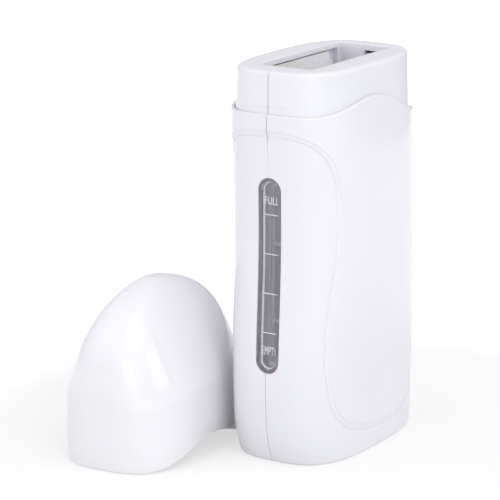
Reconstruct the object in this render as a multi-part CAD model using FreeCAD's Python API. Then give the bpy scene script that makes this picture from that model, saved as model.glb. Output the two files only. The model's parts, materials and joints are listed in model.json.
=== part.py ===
import FreeCAD, Part
import math
import os
from FreeCAD import Vector

# Hand-held roll-on wax heater, standing upright, with its cap lifted off and stood beside it.
# X is the long axis of the oval body: the level window looks to -X, the mains inlet to +X.
# Y is the thickness: the two shells part in the plane y = 0, front shell at -Y, rear shell at +Y.
# Z is up from the base, and the origin lies on the base under the centre of the neck. Millimetres.

os.makedirs("parts", exist_ok=True)

# ---------------------------------------------------------------- driving dimensions
# oval body: reach to the window side, reach to the back side and half thickness at each station
SECTION_POWER = 3.1
SECTION_POINTS = 48
BASE_Z, BASE_WIN, BASE_BACK, BASE_HALF = 0.0, 34.8, 46.0, 23.9
HEEL_Z, HEEL_WIN, HEEL_BACK, HEEL_HALF = 6.0, 37.2, 45.8, 24.4
BELLY_Z, BELLY_WIN, BELLY_BACK, BELLY_HALF = 22.0, 40.6, 45.5, 24.7
GRIP_Z, GRIP_WIN, GRIP_BACK, GRIP_HALF = 46.0, 40.6, 45.2, 24.9
WAIST_Z, WAIST_WIN, WAIST_BACK, WAIST_HALF = 78.0, 39.5, 44.4, 25.2
CHEST_Z, CHEST_WIN, CHEST_BACK, CHEST_HALF = 108.0, 40.0, 42.8, 25.5
BASE_ROUND = 1.0

# shoulder and neck
SHOULDER_Z = 130.5
SHOULDER_SLOPE = 0.094
HUMP_RISE = 7.5
HUMP_X = -3.0
HUMP_REACH = 36.0
NECK_RISE = 19.5
NECK_LONG_HALF = 39.3
NECK_THICK_HALF = 24.1
NECK_DRAFT = 1.2
SHOULDER_STEP = 1.5
RIM_ROUND = 2.0
RIM_THICK = 2.0
BEAD_HEIGHT = 0.2
BEAD_WIDE = 1.4
BEAD_LONG = 13.4
BEAD_WIN_Y = -1.2
BEAD_ABOVE_SHOULDER = 3.3

# shells
WALL = 2.2
FLOOR = 2.4
PANEL_DROP = 0.45
BEVEL_DROP = 0.22

# cartridge well
WELL_X = 1.7
WELL_LONG = 58.0
WELL_WIDE = 23.1
WELL_CORNER = 1.5
WELL_FLOOR_Z = 28.0
LINER_WALL = 1.5
RECESS_LONG = 56.0
RECESS_DEEP = 1.95
SLOT_WIDE = 7.0
SLOT_TALL = 13.0
SLOT_BELOW_RIM = 2.3
TONGUE_SET_BACK = 0.7
TONGUE_GAP = 1.2
SIGHT_WIDE = 7.6
SIGHT_BRIDGE = 1.2
SIGHT_BRIDGE_ABOVE_LINE = 2.2

# heating plate and the stack behind it
PLATE_WIDE = 43.0
PLATE_THICK = 1.4
PLATE_FACE_Y = 9.0
PLATE_FLARE_OUT = 3.0
PLATE_FLARE_TALL = 5.9
PLATE_TOP_GAP = 0.6
PLATE_FLOOR_GAP = 0.3
PLATE_CORNER = 2.5
PLATE_BOSS_D = 6.0
FILM_THICK = 0.15
FILM_WIDE = 17.0
ELECTRODE_THICK = 0.3
ELECTRODE_WIDE = 13.0
ELECTRODE_MARGIN = 5.0
TAB_WIDE = 4.8
TAB_REACH_DOWN = 9.0
TAB_OFFSET = 6.0
PTC_THICK = 2.2
PTC_WIDE = 15.0
PTC_TALL = 28.0
PTC_PITCH = 34.0
PTC_COUNT = 2
STACK_MID_Z = 87.0
STACK_WINDOW_WIDE = 18.0
CLAMP_THICK = 0.6
CLAMP_WIDE = 10.0
CLAMP_SCREW_REACH = 47.0
CLAMP_FOOT = 10.0
CLAMP_SCREW_D = 2.9
CLAMP_SCREW_HEAD_D = 5.4
CLAMP_SCREW_HEAD_TALL = 1.8

# thermal fuse behind the clamp
FUSE_D = 4.0
FUSE_LONG = 11.0
FUSE_LEAD_D = 0.8
FUSE_LEAD_LONG = 6.0
SLEEVE_WALL = 0.4
SLEEVE_GAP = 0.1

# level window
WINDOW_Y = -0.6
WINDOW_WIDE = 9.8
WINDOW_LOW_Z = 36.0
WINDOW_HIGH_Z = 110.4
LENS_CLEARANCE = 0.08
LENS_RING_SINK = 0.3
LENS_FACE_SINK = 1.9
LENS_RING_WIDE = 1.6
LENS_FLANGE = 1.8
LENS_FLANGE_THICK = 1.0
LINE_COUNT = 4
LINE_TOP_Z = 96.2
LINE_PITCH = 15.0
LINE_THICK = 1.0
LINE_MARGIN = 0.2
LINE_HEIGHT = 0.2

# indicator lamp
LAMP_D = 4.0
LAMP_Y = -1.3
LAMP_Z = 35.9
LAMP_BODY = 2.6
LAMP_TIP_GAP = 0.5
LAMP_RIM_D = 4.8
LAMP_RIM_THICK = 0.8
HOLDER_TALL = 7.6
HOLDER_DEEP = 3.4
RESISTOR_D = 3.2
RESISTOR_LONG = 17.0
RESISTOR_Y = -4.6
RESISTOR_Z = 47.0
RESISTOR_X = -33.0
LAMP_WIRE_D = 1.2

# mains inlet
INLET_Z = 20.0
INLET_WIDE = 22.0
INLET_TALL = 12.5
INLET_ROUND = 5.0
INLET_BACK_X = 27.0
INLET_SINK = 0.8
INLET_FLOOR_X = 32.5
SOCKET_D = 8.0
PIN_SPACING = 8.6
PIN_D = 2.36
PIN_TIP_X = 42.0
PIN_TAIL_X = 21.5
FLANGE_X = 39.5
FLANGE_THICK = 2.0
FLANGE_EDGE = 2.0
CRADLE_THICK = 2.0

# wires
WIRE_D = 1.6
WIRE_BEND = 4.0
TERMINAL_WIDE = 6.6
TERMINAL_THICK = 2.4
TERMINAL_TALL = 9.0
TERMINAL_GRIP = 7.0

# shell screws
SCREW_D = 2.9
SCREW_HEAD_D = 5.6
SCREW_HEAD_TALL = 2.2
SCREW_REACH_FRONT = 9.0
SCREW_SEAT_Y = 7.0
UPPER_WIN_SEAT_Y = 16.0
BOSS_FRONT_D = 6.5
BOSS_REAR_D = 8.0
BORE_D = 6.0
UPPER_WIN_SCREW_X, UPPER_WIN_SCREW_Z = -31.0, 119.0
UPPER_BACK_SCREW_X, UPPER_BACK_SCREW_Z = 36.8, 112.0
LOWER_WIN_SCREW_X, LOWER_BACK_SCREW_X, LOWER_SCREW_Z = -24.0, 34.0, 7.5
EAR_THICK = 2.0
EAR_TALL = 8.0
REST_THICK = 2.0
REST_WIN_X, REST_BACK_X = -22.0, 21.0
REST_REACH = 9.5

# cap, in the body's closed frame, and where it stands when it is off
CAP_HEIGHT = 67.5
CAP_WALL = 1.3
CAP_TOP_WALL = 1.8
CAP_RIM_GAP = 0.3
CAP_SKIRT_LONG = 15.0
CAP_SKIRT_THICK = 28.0
CAP_LONG_TAPER, CAP_LONG_BELLY, CAP_LONG_ROUND = 0.8, 4.475, 1.425
CAP_THICK_TAPER, CAP_THICK_BELLY, CAP_THICK_ROUND = 2.8, 1.2, 2.07
CAP_POWER_DROP = 0.5
CAP_STANDS_X = -38.6
CAP_STANDS_Y = 50.4
CAP_STANDS_TURN = 3.4

# fits
SLIP = 0.02
CUT = 1.0

# ---------------------------------------------------------------- worked out from them
RIM_Z = SHOULDER_Z + NECK_RISE
LINER_TOP_Z = RIM_Z - RIM_THICK
BODY_LONG_HALF = NECK_LONG_HALF + SHOULDER_STEP
BODY_THICK_HALF = NECK_THICK_HALF + SHOULDER_STEP
SKIN_INSET = PANEL_DROP + WALL
WELL_WIN_X = WELL_X - WELL_LONG / 2
WELL_BACK_X = WELL_X + WELL_LONG / 2
WELL_HALF = WELL_WIDE / 2
RECESS_Y = WELL_HALF + RECESS_DEEP
LINER_BACK_Y = RECESS_Y + LINER_WALL
PLATE_BACK_Y = PLATE_FACE_Y + PLATE_THICK
INNER_ELECTRODE_Y = PLATE_BACK_Y + FILM_THICK
PTC_Y = INNER_ELECTRODE_Y + ELECTRODE_THICK
OUTER_ELECTRODE_Y = PTC_Y + PTC_THICK
STACK_BACK_Y = OUTER_ELECTRODE_Y + ELECTRODE_THICK + FILM_THICK
STACK_TALL = PTC_PITCH * (PTC_COUNT - 1) + PTC_TALL
STACK_WINDOW_TALL = STACK_TALL + 3 * ELECTRODE_MARGIN
TAB_FOOT_Z = WELL_FLOOR_Z - LINER_WALL - TAB_REACH_DOWN
LIVE_TAB_X = WELL_X - TAB_OFFSET
NEUTRAL_TAB_X = WELL_X + TAB_OFFSET
SCREW_PLACES = (
    (UPPER_WIN_SCREW_X, UPPER_WIN_SCREW_Z, EAR_THICK / 2, UPPER_WIN_SEAT_Y),
    (UPPER_BACK_SCREW_X, UPPER_BACK_SCREW_Z, EAR_THICK / 2, SCREW_SEAT_Y),
    (LOWER_WIN_SCREW_X, LOWER_SCREW_Z, 0.0, SCREW_SEAT_Y),
    (LOWER_BACK_SCREW_X, LOWER_SCREW_Z, 0.0, SCREW_SEAT_Y),
)
FAR = 2 * max(BODY_LONG_HALF, BODY_THICK_HALF)


def shoulder_z(x):
    """Height of the waved parting line between body and cap at x."""
    straight = SHOULDER_Z - SHOULDER_SLOPE * x
    off = abs(x - HUMP_X) / HUMP_REACH
    return straight + (HUMP_RISE * math.cos(off * math.pi / 2) ** 2 if off < 1 else 0.0)


STATIONS = (
    (BASE_Z, BASE_WIN, BASE_BACK, BASE_HALF),
    (HEEL_Z, HEEL_WIN, HEEL_BACK, HEEL_HALF),
    (BELLY_Z, BELLY_WIN, BELLY_BACK, BELLY_HALF),
    (GRIP_Z, GRIP_WIN, GRIP_BACK, GRIP_HALF),
    (WAIST_Z, WAIST_WIN, WAIST_BACK, WAIST_HALF),
    (CHEST_Z, CHEST_WIN, CHEST_BACK, CHEST_HALF),
    (SHOULDER_Z + HUMP_RISE / 2, BODY_LONG_HALF, BODY_LONG_HALF, BODY_THICK_HALF),
    (SHOULDER_Z + 2 * HUMP_RISE, BODY_LONG_HALF, BODY_LONG_HALF, BODY_THICK_HALF),
)


# ---------------------------------------------------------------- helpers
def save(shape, name):
    shape.exportStep("parts/" + name + ".step")
    print(name, "solids", len(shape.Solids), "volume", round(shape.Volume, 1), "valid", shape.isValid())


def box(x0, x1, y0, y1, z0, z1):
    return Part.makeBox(x1 - x0, y1 - y0, z1 - z0, Vector(x0, y0, z0))


def rod_x(x0, x1, y, z, d):
    return Part.makeCylinder(d / 2, x1 - x0, Vector(x0, y, z), Vector(1, 0, 0))


def rod_y(x, z, y0, y1, d):
    return Part.makeCylinder(d / 2, y1 - y0, Vector(x, y0, z), Vector(0, 1, 0))


def rod_z(x, y, z0, z1, d):
    return Part.makeCylinder(d / 2, z1 - z0, Vector(x, y, z0))


def oval(z, win, back, half, power=SECTION_POWER):
    """A closed flattened oval (superellipse) at height z, longer to one side than to the other."""
    points = []
    for i in range(SECTION_POINTS):
        turn = 2 * math.pi * i / SECTION_POINTS
        c, s = math.cos(turn), math.sin(turn)
        reach = back if c > 0 else win
        r = (abs(c / reach) ** power + abs(s / half) ** power) ** (-1 / power)
        points.append(Vector(r * c, r * s, z))
    curve = Part.BSplineCurve()
    curve.interpolate(Points=points, PeriodicFlag=True)
    return Part.Wire([curve.toShape()])


def body_form(inset):
    """The smooth body, brought in all round by inset."""
    wires = [oval(z, win - inset, back - inset, half - inset) for z, win, back, half in STATIONS]
    return Part.makeLoft(wires, True, False)


def neck_form(inset, z0, z1):
    """The neck from z0 to z1, brought in all round by inset; its wide faces have draft."""
    wires = []
    for z in (z0, z1):
        half = NECK_THICK_HALF - NECK_DRAFT * (z - SHOULDER_Z) / NECK_RISE
        wires.append(oval(z, NECK_LONG_HALF - inset, NECK_LONG_HALF - inset, half - inset))
    return Part.makeLoft(wires, True, True)


def side_prism(edges):
    """A closed outline in the plane x-z, run right through the body along y."""
    face = Part.Face(Part.Wire(edges))
    return face.extrude(Vector(0, 2 * FAR, 0))


def outline_point(x, z):
    return Vector(x, -FAR, z)


def line(a, b):
    return Part.LineSegment(a, b).toShape()


def above_wave(gap):
    """Everything above the waved shoulder line, moved up by gap."""
    steps = 24
    xs = [-FAR / 2 + FAR * i / steps for i in range(steps + 1)]
    points = [outline_point(x, shoulder_z(x) + gap) for x in xs]
    curve = Part.BSplineCurve()
    curve.interpolate(points)
    top = RIM_Z + 2 * CAP_HEIGHT
    high_left, high_right = outline_point(xs[0], top), outline_point(xs[-1], top)
    edges = [curve.toShape(), line(points[-1], high_right), line(high_right, high_left)]
    return side_prism(edges + [line(high_left, points[0])])


def below_wave(inset):
    """The smooth body up to the waved shoulder line. Its flat top comes off first, so that the wave cuts clean."""
    trimmed = body_form(inset).common(box(-FAR, FAR, -FAR, FAR, BASE_Z - CUT, STATIONS[-1][0] - CUT))
    return trimmed.cut(above_wave(0.0))


def styling_region(points):
    """The part of the body to the right of and above a styling line that crosses both narrow sides."""
    curve = Part.BSplineCurve()
    curve.interpolate([outline_point(x, z) for x, z in points])
    start, end = outline_point(*points[0]), outline_point(*points[-1])
    left, right = outline_point(-FAR, points[0][1]), outline_point(FAR, points[-1][1])
    high_left, high_right = outline_point(-FAR, RIM_Z), outline_point(FAR, RIM_Z)
    edges = [line(left, start), curve.toShape(), line(end, right), line(right, high_right)]
    return side_prism(edges + [line(high_right, high_left), line(high_left, left)])


def stadium_x(y, z0, z1, wide, x0, x1):
    """An upright slot outline with round ends, wide along y, run along x."""
    r = wide / 2
    low, high = Vector(x0, y, z0 + r), Vector(x0, y, z1 - r)
    side = Vector(0, r, 0)
    up = Vector(0, 0, r)
    edges = [
        line(low - side, high - side),
        Part.Arc(high - side, high + up, high + side).toShape(),
        line(high + side, low + side),
        Part.Arc(low + side, low - up, low - side).toShape(),
    ]
    return Part.Face(Part.Wire(edges)).extrude(Vector(x1 - x0, 0, 0))


def rounded_block(x0, x1, y0, y1, z0, z1, r, axis):
    """A block whose four edges along axis are rounded."""
    block = box(x0, x1, y0, y1, z0, z1)
    along = {"x": Vector(1, 0, 0), "y": Vector(0, 1, 0), "z": Vector(0, 0, 1)}[axis]
    edges = [e for e in block.Edges if abs(e.tangentAt(0).dot(along)) > 0.9]
    return block.makeFillet(r, edges)


def wire_tube(points, d):
    """A round wire along straight runs joined by tangent arcs."""
    stops = [Vector(*p) for p in points]
    edges = []
    last = stops[0]
    for before, corner, after in zip(stops, stops[1:], stops[2:]):
        back, on = before - corner, after - corner
        run = min(WIRE_BEND, 0.45 * min(back.Length, on.Length))
        back.normalize()
        on.normalize()
        enter, leave = corner + back * run, corner + on * run
        half_turn = (math.pi - back.getAngle(on)) / 2
        radius = run / math.tan(half_turn)
        inward = back + on
        inward.normalize()
        middle = corner + inward * (radius / math.cos(half_turn) - radius)
        edges.append(line(last, enter))
        edges.append(Part.Arc(enter, middle, leave).toShape())
        last = leave
    edges.append(line(last, stops[-1]))
    start = stops[1] - stops[0]
    ring = Part.Wire([Part.makeCircle(d / 2, stops[0], start)])
    return Part.Wire(edges).makePipeShell([ring], True, False)


def cross_recess(x, z, y_face, size, deep):
    arm = size / 4
    one = box(x - size / 2, x + size / 2, y_face - deep, y_face + CUT, z - arm / 2, z + arm / 2)
    two = box(x - arm / 2, x + arm / 2, y_face - deep, y_face + CUT, z - size / 2, z + size / 2)
    return one.fuse(two)


# ---------------------------------------------------------------- casing
def styled_body():
    """The body's outer form: raised wide panel and shoulder band, a bevel, and sunk narrow sides."""
    raised_line = (
        (-41.5, 128.7), (-40.3, 128.0), (-39.2, 127.1), (-37.0, 125.5), (-34.6, 123.4), (-31.6, 120.3),
        (-28.6, 116.2), (-26.5, 110.0), (-25.3, 103.0), (-24.6, 95.0), (-24.7, 87.0), (-25.5, 78.5),
        (-27.8, 64.7), (-28.9, 57.0), (-29.7, 48.0), (-29.9, 40.0), (-29.1, 32.0), (-26.9, 23.6), (-22.6, 17.6),
        (-15.7, 13.8), (-7.0, 11.5), (3.0, 10.0), (11.5, 10.0), (19.0, 11.0), (28.0, 16.2), (33.3, 30.0),
        (34.6, 50.0), (33.4, 75.0), (35.4, 98.0), (42.5, 119.0),
    )
    bevel_line = (
        (-41.5, 126.3), (-40.1, 125.8), (-38.9, 125.0), (-36.5, 122.9), (-34.4, 120.8), (-32.4, 118.5),
        (-30.7, 115.6), (-28.6, 110.0), (-27.4, 103.0), (-26.8, 95.0), (-27.0, 87.0), (-27.8, 78.5),
        (-30.2, 64.7), (-31.4, 57.0), (-32.0, 48.0), (-32.1, 40.0), (-31.3, 32.0), (-28.9, 22.4), (-24.0, 15.8),
        (-16.6, 11.7), (-7.5, 9.3), (3.0, 7.9), (12.0, 7.9), (19.6, 9.0), (29.6, 14.4), (35.6, 29.0),
        (36.8, 50.0), (35.8, 75.0), (37.8, 98.0), (43.0, 116.3),
    )
    low = below_wave(PANEL_DROP)
    base_edges = [e for e in low.Edges if abs(e.CenterOfMass.z - BASE_Z) < 0.01]
    low = low.makeFillet(BASE_ROUND, base_edges)
    middle = below_wave(PANEL_DROP - BEVEL_DROP).common(styling_region(bevel_line))
    high = below_wave(0.0).common(styling_region(raised_line))
    return low.fuse(middle).fuse(high)


def neck_beads(rise):
    """Two snap beads, one on each narrow side of the neck, as a band rise proud of it."""
    band = neck_form(-rise, SHOULDER_Z - NECK_RISE, RIM_Z)
    beads = []
    for end, middle in ((-NECK_LONG_HALF, BEAD_WIN_Y), (NECK_LONG_HALF, 0.0)):
        z = shoulder_z(end) + BEAD_ABOVE_SHOULDER
        x0, x1 = sorted((end / 2, end * 1.1))
        low, high = z - BEAD_WIDE / 2, z + BEAD_WIDE / 2
        beads.append(band.common(box(x0, x1, middle - BEAD_LONG / 2, middle + BEAD_LONG / 2, low, high)))
    return beads


def outer_form():
    """Body, neck and snap beads as one solid, with the rim rounded."""
    neck = neck_form(0.0, SHOULDER_Z - NECK_RISE, RIM_Z)
    rim_edges = [e for e in neck.Edges if abs(e.CenterOfMass.z - RIM_Z) < 0.01]
    neck = neck.makeFillet(RIM_ROUND, rim_edges)
    return styled_body().fuse([neck] + neck_beads(BEAD_HEIGHT))


def cavity_form():
    """The hollow inside both shells."""
    ceiling = shoulder_z(BODY_LONG_HALF) - WALL
    lower = body_form(SKIN_INSET).common(box(-FAR, FAR, -FAR, FAR, FLOOR, ceiling))
    upper = neck_form(WALL, ceiling - CUT, LINER_TOP_Z)
    return lower.fuse(upper)


def well_opening(z0, z1):
    return rounded_block(WELL_WIN_X, WELL_BACK_X, -WELL_HALF, WELL_HALF, z0, z1, WELL_CORNER, "z")


def window_cut(grow, x0, x1):
    wide = WINDOW_WIDE + 2 * grow
    return stadium_x(WINDOW_Y, WINDOW_LOW_Z - grow, WINDOW_HIGH_Z + grow, wide, x0, x1)


def inlet_block(grow, x0, x1):
    half_y, half_z = INLET_WIDE / 2 + grow, INLET_TALL / 2 + grow
    return rounded_block(x0, x1, -half_y, half_y, INLET_Z - half_z, INLET_Z + half_z, INLET_ROUND + grow, "x")


def liner_block(grow):
    """The room the well liner takes up, grown by grow, to keep the bosses clear of it."""
    t = LINER_WALL + grow
    return box(WELL_WIN_X - t, WELL_BACK_X + t, -WELL_HALF - t, LINER_BACK_Y + grow, WELL_FLOOR_Z - t, LINER_TOP_Z)


def make_shells():
    outer = outer_form()
    hollow = outer.cut(cavity_form())
    cuts = [well_opening(LINER_TOP_Z - CUT, RIM_Z + CUT), window_cut(0.0, -FAR, -BODY_LONG_HALF / 2)]
    cuts.append(inlet_block(2 * SLIP, FLANGE_X - FLANGE_THICK, FAR))
    skin = hollow.cut(cuts)
    for name, side in (("front_shell", -1), ("rear_shell", 1)):
        half_space = box(-FAR, FAR, *sorted((0.0, side * FAR)), -FAR, 2 * FAR + RIM_Z)
        added, removed = [], []
        boss_d = BOSS_FRONT_D if side < 0 else BOSS_REAR_D
        for x, z, gap, seat_y in SCREW_PLACES:
            boss = rod_y(x, z, *sorted((side * gap, side * FAR)), boss_d)
            added.append(boss.cut(liner_block(2 * SLIP)))
            if side < 0:
                removed.append(rod_y(x, z, -SCREW_REACH_FRONT - CUT, 0.0, SCREW_D + 2 * SLIP))
            else:
                removed.append(rod_y(x, z, 0.0, FAR, SCREW_D + 10 * SLIP))
                removed.append(rod_y(x, z, seat_y, FAR, BORE_D))
        for x in (REST_WIN_X, REST_BACK_X):
            reach = sorted((side * REST_REACH, side * FAR))
            floor_z = WELL_FLOOR_Z - LINER_WALL
            added.append(box(x - REST_THICK / 2, x + REST_THICK / 2, *reach, FLOOR / 2, floor_z))
        cradle_x = FLANGE_X - FLANGE_THICK
        cradle_y = INLET_WIDE / 2 + 2 * SLIP
        reach = sorted((side * cradle_y, side * FAR))
        low, high = INLET_Z - INLET_TALL / 2 - FLANGE_EDGE, INLET_Z + INLET_TALL / 2 + FLANGE_EDGE
        added.append(box(cradle_x - CRADLE_THICK, cradle_x, *reach, low, high))
        shell = skin.common(half_space)
        for piece in added:
            shell = shell.fuse(piece.common(outer))
        for piece in removed:
            shell = shell.cut(piece)
        save(shell, name)


# ---------------------------------------------------------------- cartridge well
def make_liner():
    t = LINER_WALL
    bottom = WELL_FLOOR_Z - t
    tube = rounded_block(WELL_WIN_X - t, WELL_BACK_X + t, -WELL_HALF - t, WELL_HALF + t,
                         bottom, LINER_TOP_Z, WELL_CORNER + t, "z")
    recess_x0, recess_x1 = WELL_X - RECESS_LONG / 2, WELL_X + RECESS_LONG / 2
    hump = box(recess_x0 - t, recess_x1 + t, 0.0, LINER_BACK_Y, bottom, LINER_TOP_Z)
    inside = well_opening(WELL_FLOOR_Z, LINER_TOP_Z + CUT)
    recess = box(recess_x0, recess_x1, 0.0, RECESS_Y, WELL_FLOOR_Z, LINER_TOP_Z + CUT)
    liner = tube.fuse(hump).cut([inside, recess])
    # window for the heater stack, screw holes, and the slot in the floor for the electrode tabs
    half_window, half_tall = STACK_WINDOW_WIDE / 2, STACK_WINDOW_TALL / 2
    cuts = [box(WELL_X - half_window, WELL_X + half_window, RECESS_Y - CUT, LINER_BACK_Y + CUT,
                STACK_MID_Z - half_tall, STACK_MID_Z + half_tall)]
    for z in (STACK_MID_Z - CLAMP_SCREW_REACH, STACK_MID_Z + CLAMP_SCREW_REACH):
        cuts.append(rod_y(WELL_X, z, RECESS_Y - CUT, LINER_BACK_Y + CUT, CLAMP_SCREW_D + 2 * SLIP))
    tab_edge = TAB_OFFSET + TAB_WIDE / 2 + CUT
    cuts.append(box(WELL_X - tab_edge, WELL_X + tab_edge, PLATE_BACK_Y, RECESS_Y, bottom - CUT, WELL_FLOOR_Z + CUT))
    # sight slot behind the level window, left open but for two bridges
    sight_low, sight_high = WINDOW_LOW_Z + WINDOW_WIDE / 2, WINDOW_HIGH_Z - WINDOW_WIDE / 2
    sight = box(WELL_WIN_X - t - CUT, WELL_WIN_X + CUT, WINDOW_Y - SIGHT_WIDE / 2, WINDOW_Y + SIGHT_WIDE / 2,
                sight_low, sight_high)
    bridges = []
    for i in range(1, LINE_COUNT, 2):
        z = LINE_TOP_Z - i * LINE_PITCH + SIGHT_BRIDGE_ABOVE_LINE
        bridges.append(box(WELL_WIN_X - 2 * t, WELL_WIN_X + 2 * t, -FAR, FAR,
                           z - SIGHT_BRIDGE / 2, z + SIGHT_BRIDGE / 2))
    cuts.append(sight.cut(bridges))
    # snap tongue in a slot of the end wall, set back a little and free on three sides
    slot_top = RIM_Z - SLOT_BELOW_RIM
    cuts.append(box(WELL_BACK_X - CUT, WELL_BACK_X + t + CUT, -SLOT_WIDE, 0.0, slot_top - SLOT_TALL, slot_top))
    tongue = box(WELL_BACK_X + TONGUE_SET_BACK, WELL_BACK_X + t, -SLOT_WIDE + TONGUE_GAP / 2, -TONGUE_GAP / 2,
                 slot_top - SLOT_TALL, slot_top - TONGUE_GAP)
    liner = liner.cut(cuts).fuse(tongue)
    # ears that the upper shell screws pass through
    ears = []
    for x, z, gap, _seat in SCREW_PLACES[:2]:
        wall_x = WELL_WIN_X - t if x < WELL_X else WELL_BACK_X + t
        reach = sorted((x, wall_x + (CUT if x < WELL_X else -CUT)))
        ear = box(*reach, -gap, gap, z - EAR_TALL / 2, z + EAR_TALL / 2)
        ears.append(ear.fuse(rod_y(x, z, -gap, gap, EAR_TALL)))
    holes = [rod_y(x, z, -CUT - gap, CUT + gap, SCREW_D + 10 * SLIP) for x, z, gap, _seat in SCREW_PLACES[:2]]
    inner_skin = body_form(SKIN_INSET + SLIP)
    ears = [ear.common(inner_skin).cut(well_opening(0.0, RIM_Z)) for ear in ears]
    liner = liner.fuse(ears).cut(holes)
    save(liner.removeSplitter(), "well_liner")


# ---------------------------------------------------------------- heater
def make_plate():
    top = LINER_TOP_Z - PLATE_TOP_GAP
    foot = WELL_FLOOR_Z + PLATE_FLOOR_GAP
    bend = top - PLATE_FLARE_TALL
    x0 = WELL_X - PLATE_WIDE / 2
    front = [(PLATE_FACE_Y, foot), (PLATE_FACE_Y, bend), (PLATE_FACE_Y + PLATE_FLARE_OUT, top)]
    back = [(y + PLATE_THICK, z) for y, z in reversed(front)]
    corners = [Vector(x0, y, z) for y, z in front + back]
    face = Part.Face(Part.makePolygon(corners + corners[:1]))
    plate = face.extrude(Vector(PLATE_WIDE, 0, 0))
    upright = [e for e in plate.Edges if abs(e.tangentAt(0).dot(Vector(1, 0, 0))) < 0.1]
    corner_edges = [e for e in upright if e.Length < 1.2 * PLATE_THICK and abs(e.CenterOfMass.z - foot) < 0.1]
    plate = plate.makeFillet(PLATE_CORNER, corner_edges)
    bosses, holes = [], []
    for z in (STACK_MID_Z - CLAMP_SCREW_REACH, STACK_MID_Z + CLAMP_SCREW_REACH):
        bosses.append(rod_y(WELL_X, z, PLATE_FACE_Y + PLATE_THICK / 2, RECESS_Y, PLATE_BOSS_D))
        holes.append(rod_y(WELL_X, z, PLATE_BACK_Y, RECESS_Y + CUT, CLAMP_SCREW_D + 2 * SLIP))
    save(plate.fuse(bosses).cut(holes), "heating_plate")


def electrode(y, tab_x):
    half = STACK_TALL / 2 + ELECTRODE_MARGIN
    strip = box(WELL_X - ELECTRODE_WIDE / 2, WELL_X + ELECTRODE_WIDE / 2, y, y + ELECTRODE_THICK,
                STACK_MID_Z - half, STACK_MID_Z + half)
    tab = box(tab_x - TAB_WIDE / 2, tab_x + TAB_WIDE / 2, y, y + ELECTRODE_THICK, TAB_FOOT_Z, STACK_MID_Z - half + CUT)
    return strip.fuse(tab).removeSplitter()


def make_stack():
    pills = []
    for i in range(PTC_COUNT):
        z = STACK_MID_Z + (i - (PTC_COUNT - 1) / 2) * PTC_PITCH
        pills.append(box(WELL_X - PTC_WIDE / 2, WELL_X + PTC_WIDE / 2, PTC_Y, PTC_Y + PTC_THICK,
                         z - PTC_TALL / 2, z + PTC_TALL / 2))
    save(Part.makeCompound(pills), "ptc_elements")
    save(electrode(INNER_ELECTRODE_Y, LIVE_TAB_X), "electrode_live")
    save(electrode(OUTER_ELECTRODE_Y, NEUTRAL_TAB_X), "electrode_neutral")
    half = STACK_TALL / 2 + ELECTRODE_MARGIN + CUT
    films = []
    for y in (PLATE_BACK_Y, STACK_BACK_Y - FILM_THICK):
        films.append(box(WELL_X - FILM_WIDE / 2, WELL_X + FILM_WIDE / 2, y, y + FILM_THICK,
                         STACK_MID_Z - half, STACK_MID_Z + half))
    save(Part.makeCompound(films), "insulation_films")


def make_clamp():
    """A spring strip shaped like a hat: its middle presses the stack, its feet sit on the liner."""
    seat = LINER_BACK_Y
    reach = CLAMP_SCREW_REACH + CLAMP_FOOT / 2
    knee = STACK_TALL / 2 + ELECTRODE_MARGIN
    rise = seat - STACK_BACK_Y
    inner = [(seat, -reach), (seat, -knee - rise), (STACK_BACK_Y, -knee), (STACK_BACK_Y, knee),
             (seat, knee + rise), (seat, reach)]
    outer = [(y + CLAMP_THICK, z) for y, z in reversed(inner)]
    corners = [Vector(WELL_X - CLAMP_WIDE / 2, y, STACK_MID_Z + z) for y, z in inner + outer]
    strip = Part.Face(Part.makePolygon(corners + corners[:1])).extrude(Vector(CLAMP_WIDE, 0, 0))
    holes, screws = [], []
    head_y = seat + CLAMP_THICK
    for z in (STACK_MID_Z - CLAMP_SCREW_REACH, STACK_MID_Z + CLAMP_SCREW_REACH):
        holes.append(rod_y(WELL_X, z, seat - CUT, head_y + CUT, CLAMP_SCREW_D + 2 * SLIP))
        screw = rod_y(WELL_X, z, PLATE_BACK_Y + SLIP, head_y + SLIP, CLAMP_SCREW_D)
        head = rod_y(WELL_X, z, head_y, head_y + CLAMP_SCREW_HEAD_TALL, CLAMP_SCREW_HEAD_D)
        face_y = head_y + CLAMP_SCREW_HEAD_TALL
        recess = cross_recess(WELL_X, z, face_y, CLAMP_SCREW_HEAD_D * 0.6, CLAMP_SCREW_HEAD_TALL * 0.6)
        screws.append(screw.fuse(head).cut(recess))
    save(strip.cut(holes), "heater_clamp")
    save(Part.makeCompound(screws), "clamp_screws")


FUSE_Y = STACK_BACK_Y + CLAMP_THICK + SLEEVE_GAP + SLEEVE_WALL + SLIP + FUSE_D / 2
FUSE_LOW_Z = STACK_MID_Z - FUSE_LONG / 2
FUSE_HIGH_Z = STACK_MID_Z + FUSE_LONG / 2


def make_fuse():
    body = rod_z(WELL_X, FUSE_Y, FUSE_LOW_Z, FUSE_HIGH_Z, FUSE_D)
    leads = rod_z(WELL_X, FUSE_Y, FUSE_LOW_Z - FUSE_LEAD_LONG, FUSE_HIGH_Z + FUSE_LEAD_LONG, FUSE_LEAD_D)
    save(body.fuse(leads), "thermal_fuse")
    bore = FUSE_D + 2 * SLIP
    sleeve_low, sleeve_high = FUSE_LOW_Z - FUSE_LEAD_LONG / 2, FUSE_HIGH_Z + FUSE_LEAD_LONG / 2
    sleeve = rod_z(WELL_X, FUSE_Y, sleeve_low, sleeve_high, bore + 2 * SLEEVE_WALL)
    save(sleeve.cut(rod_z(WELL_X, FUSE_Y, sleeve_low - CUT, sleeve_high + CUT, bore)), "fuse_sleeve")


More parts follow.
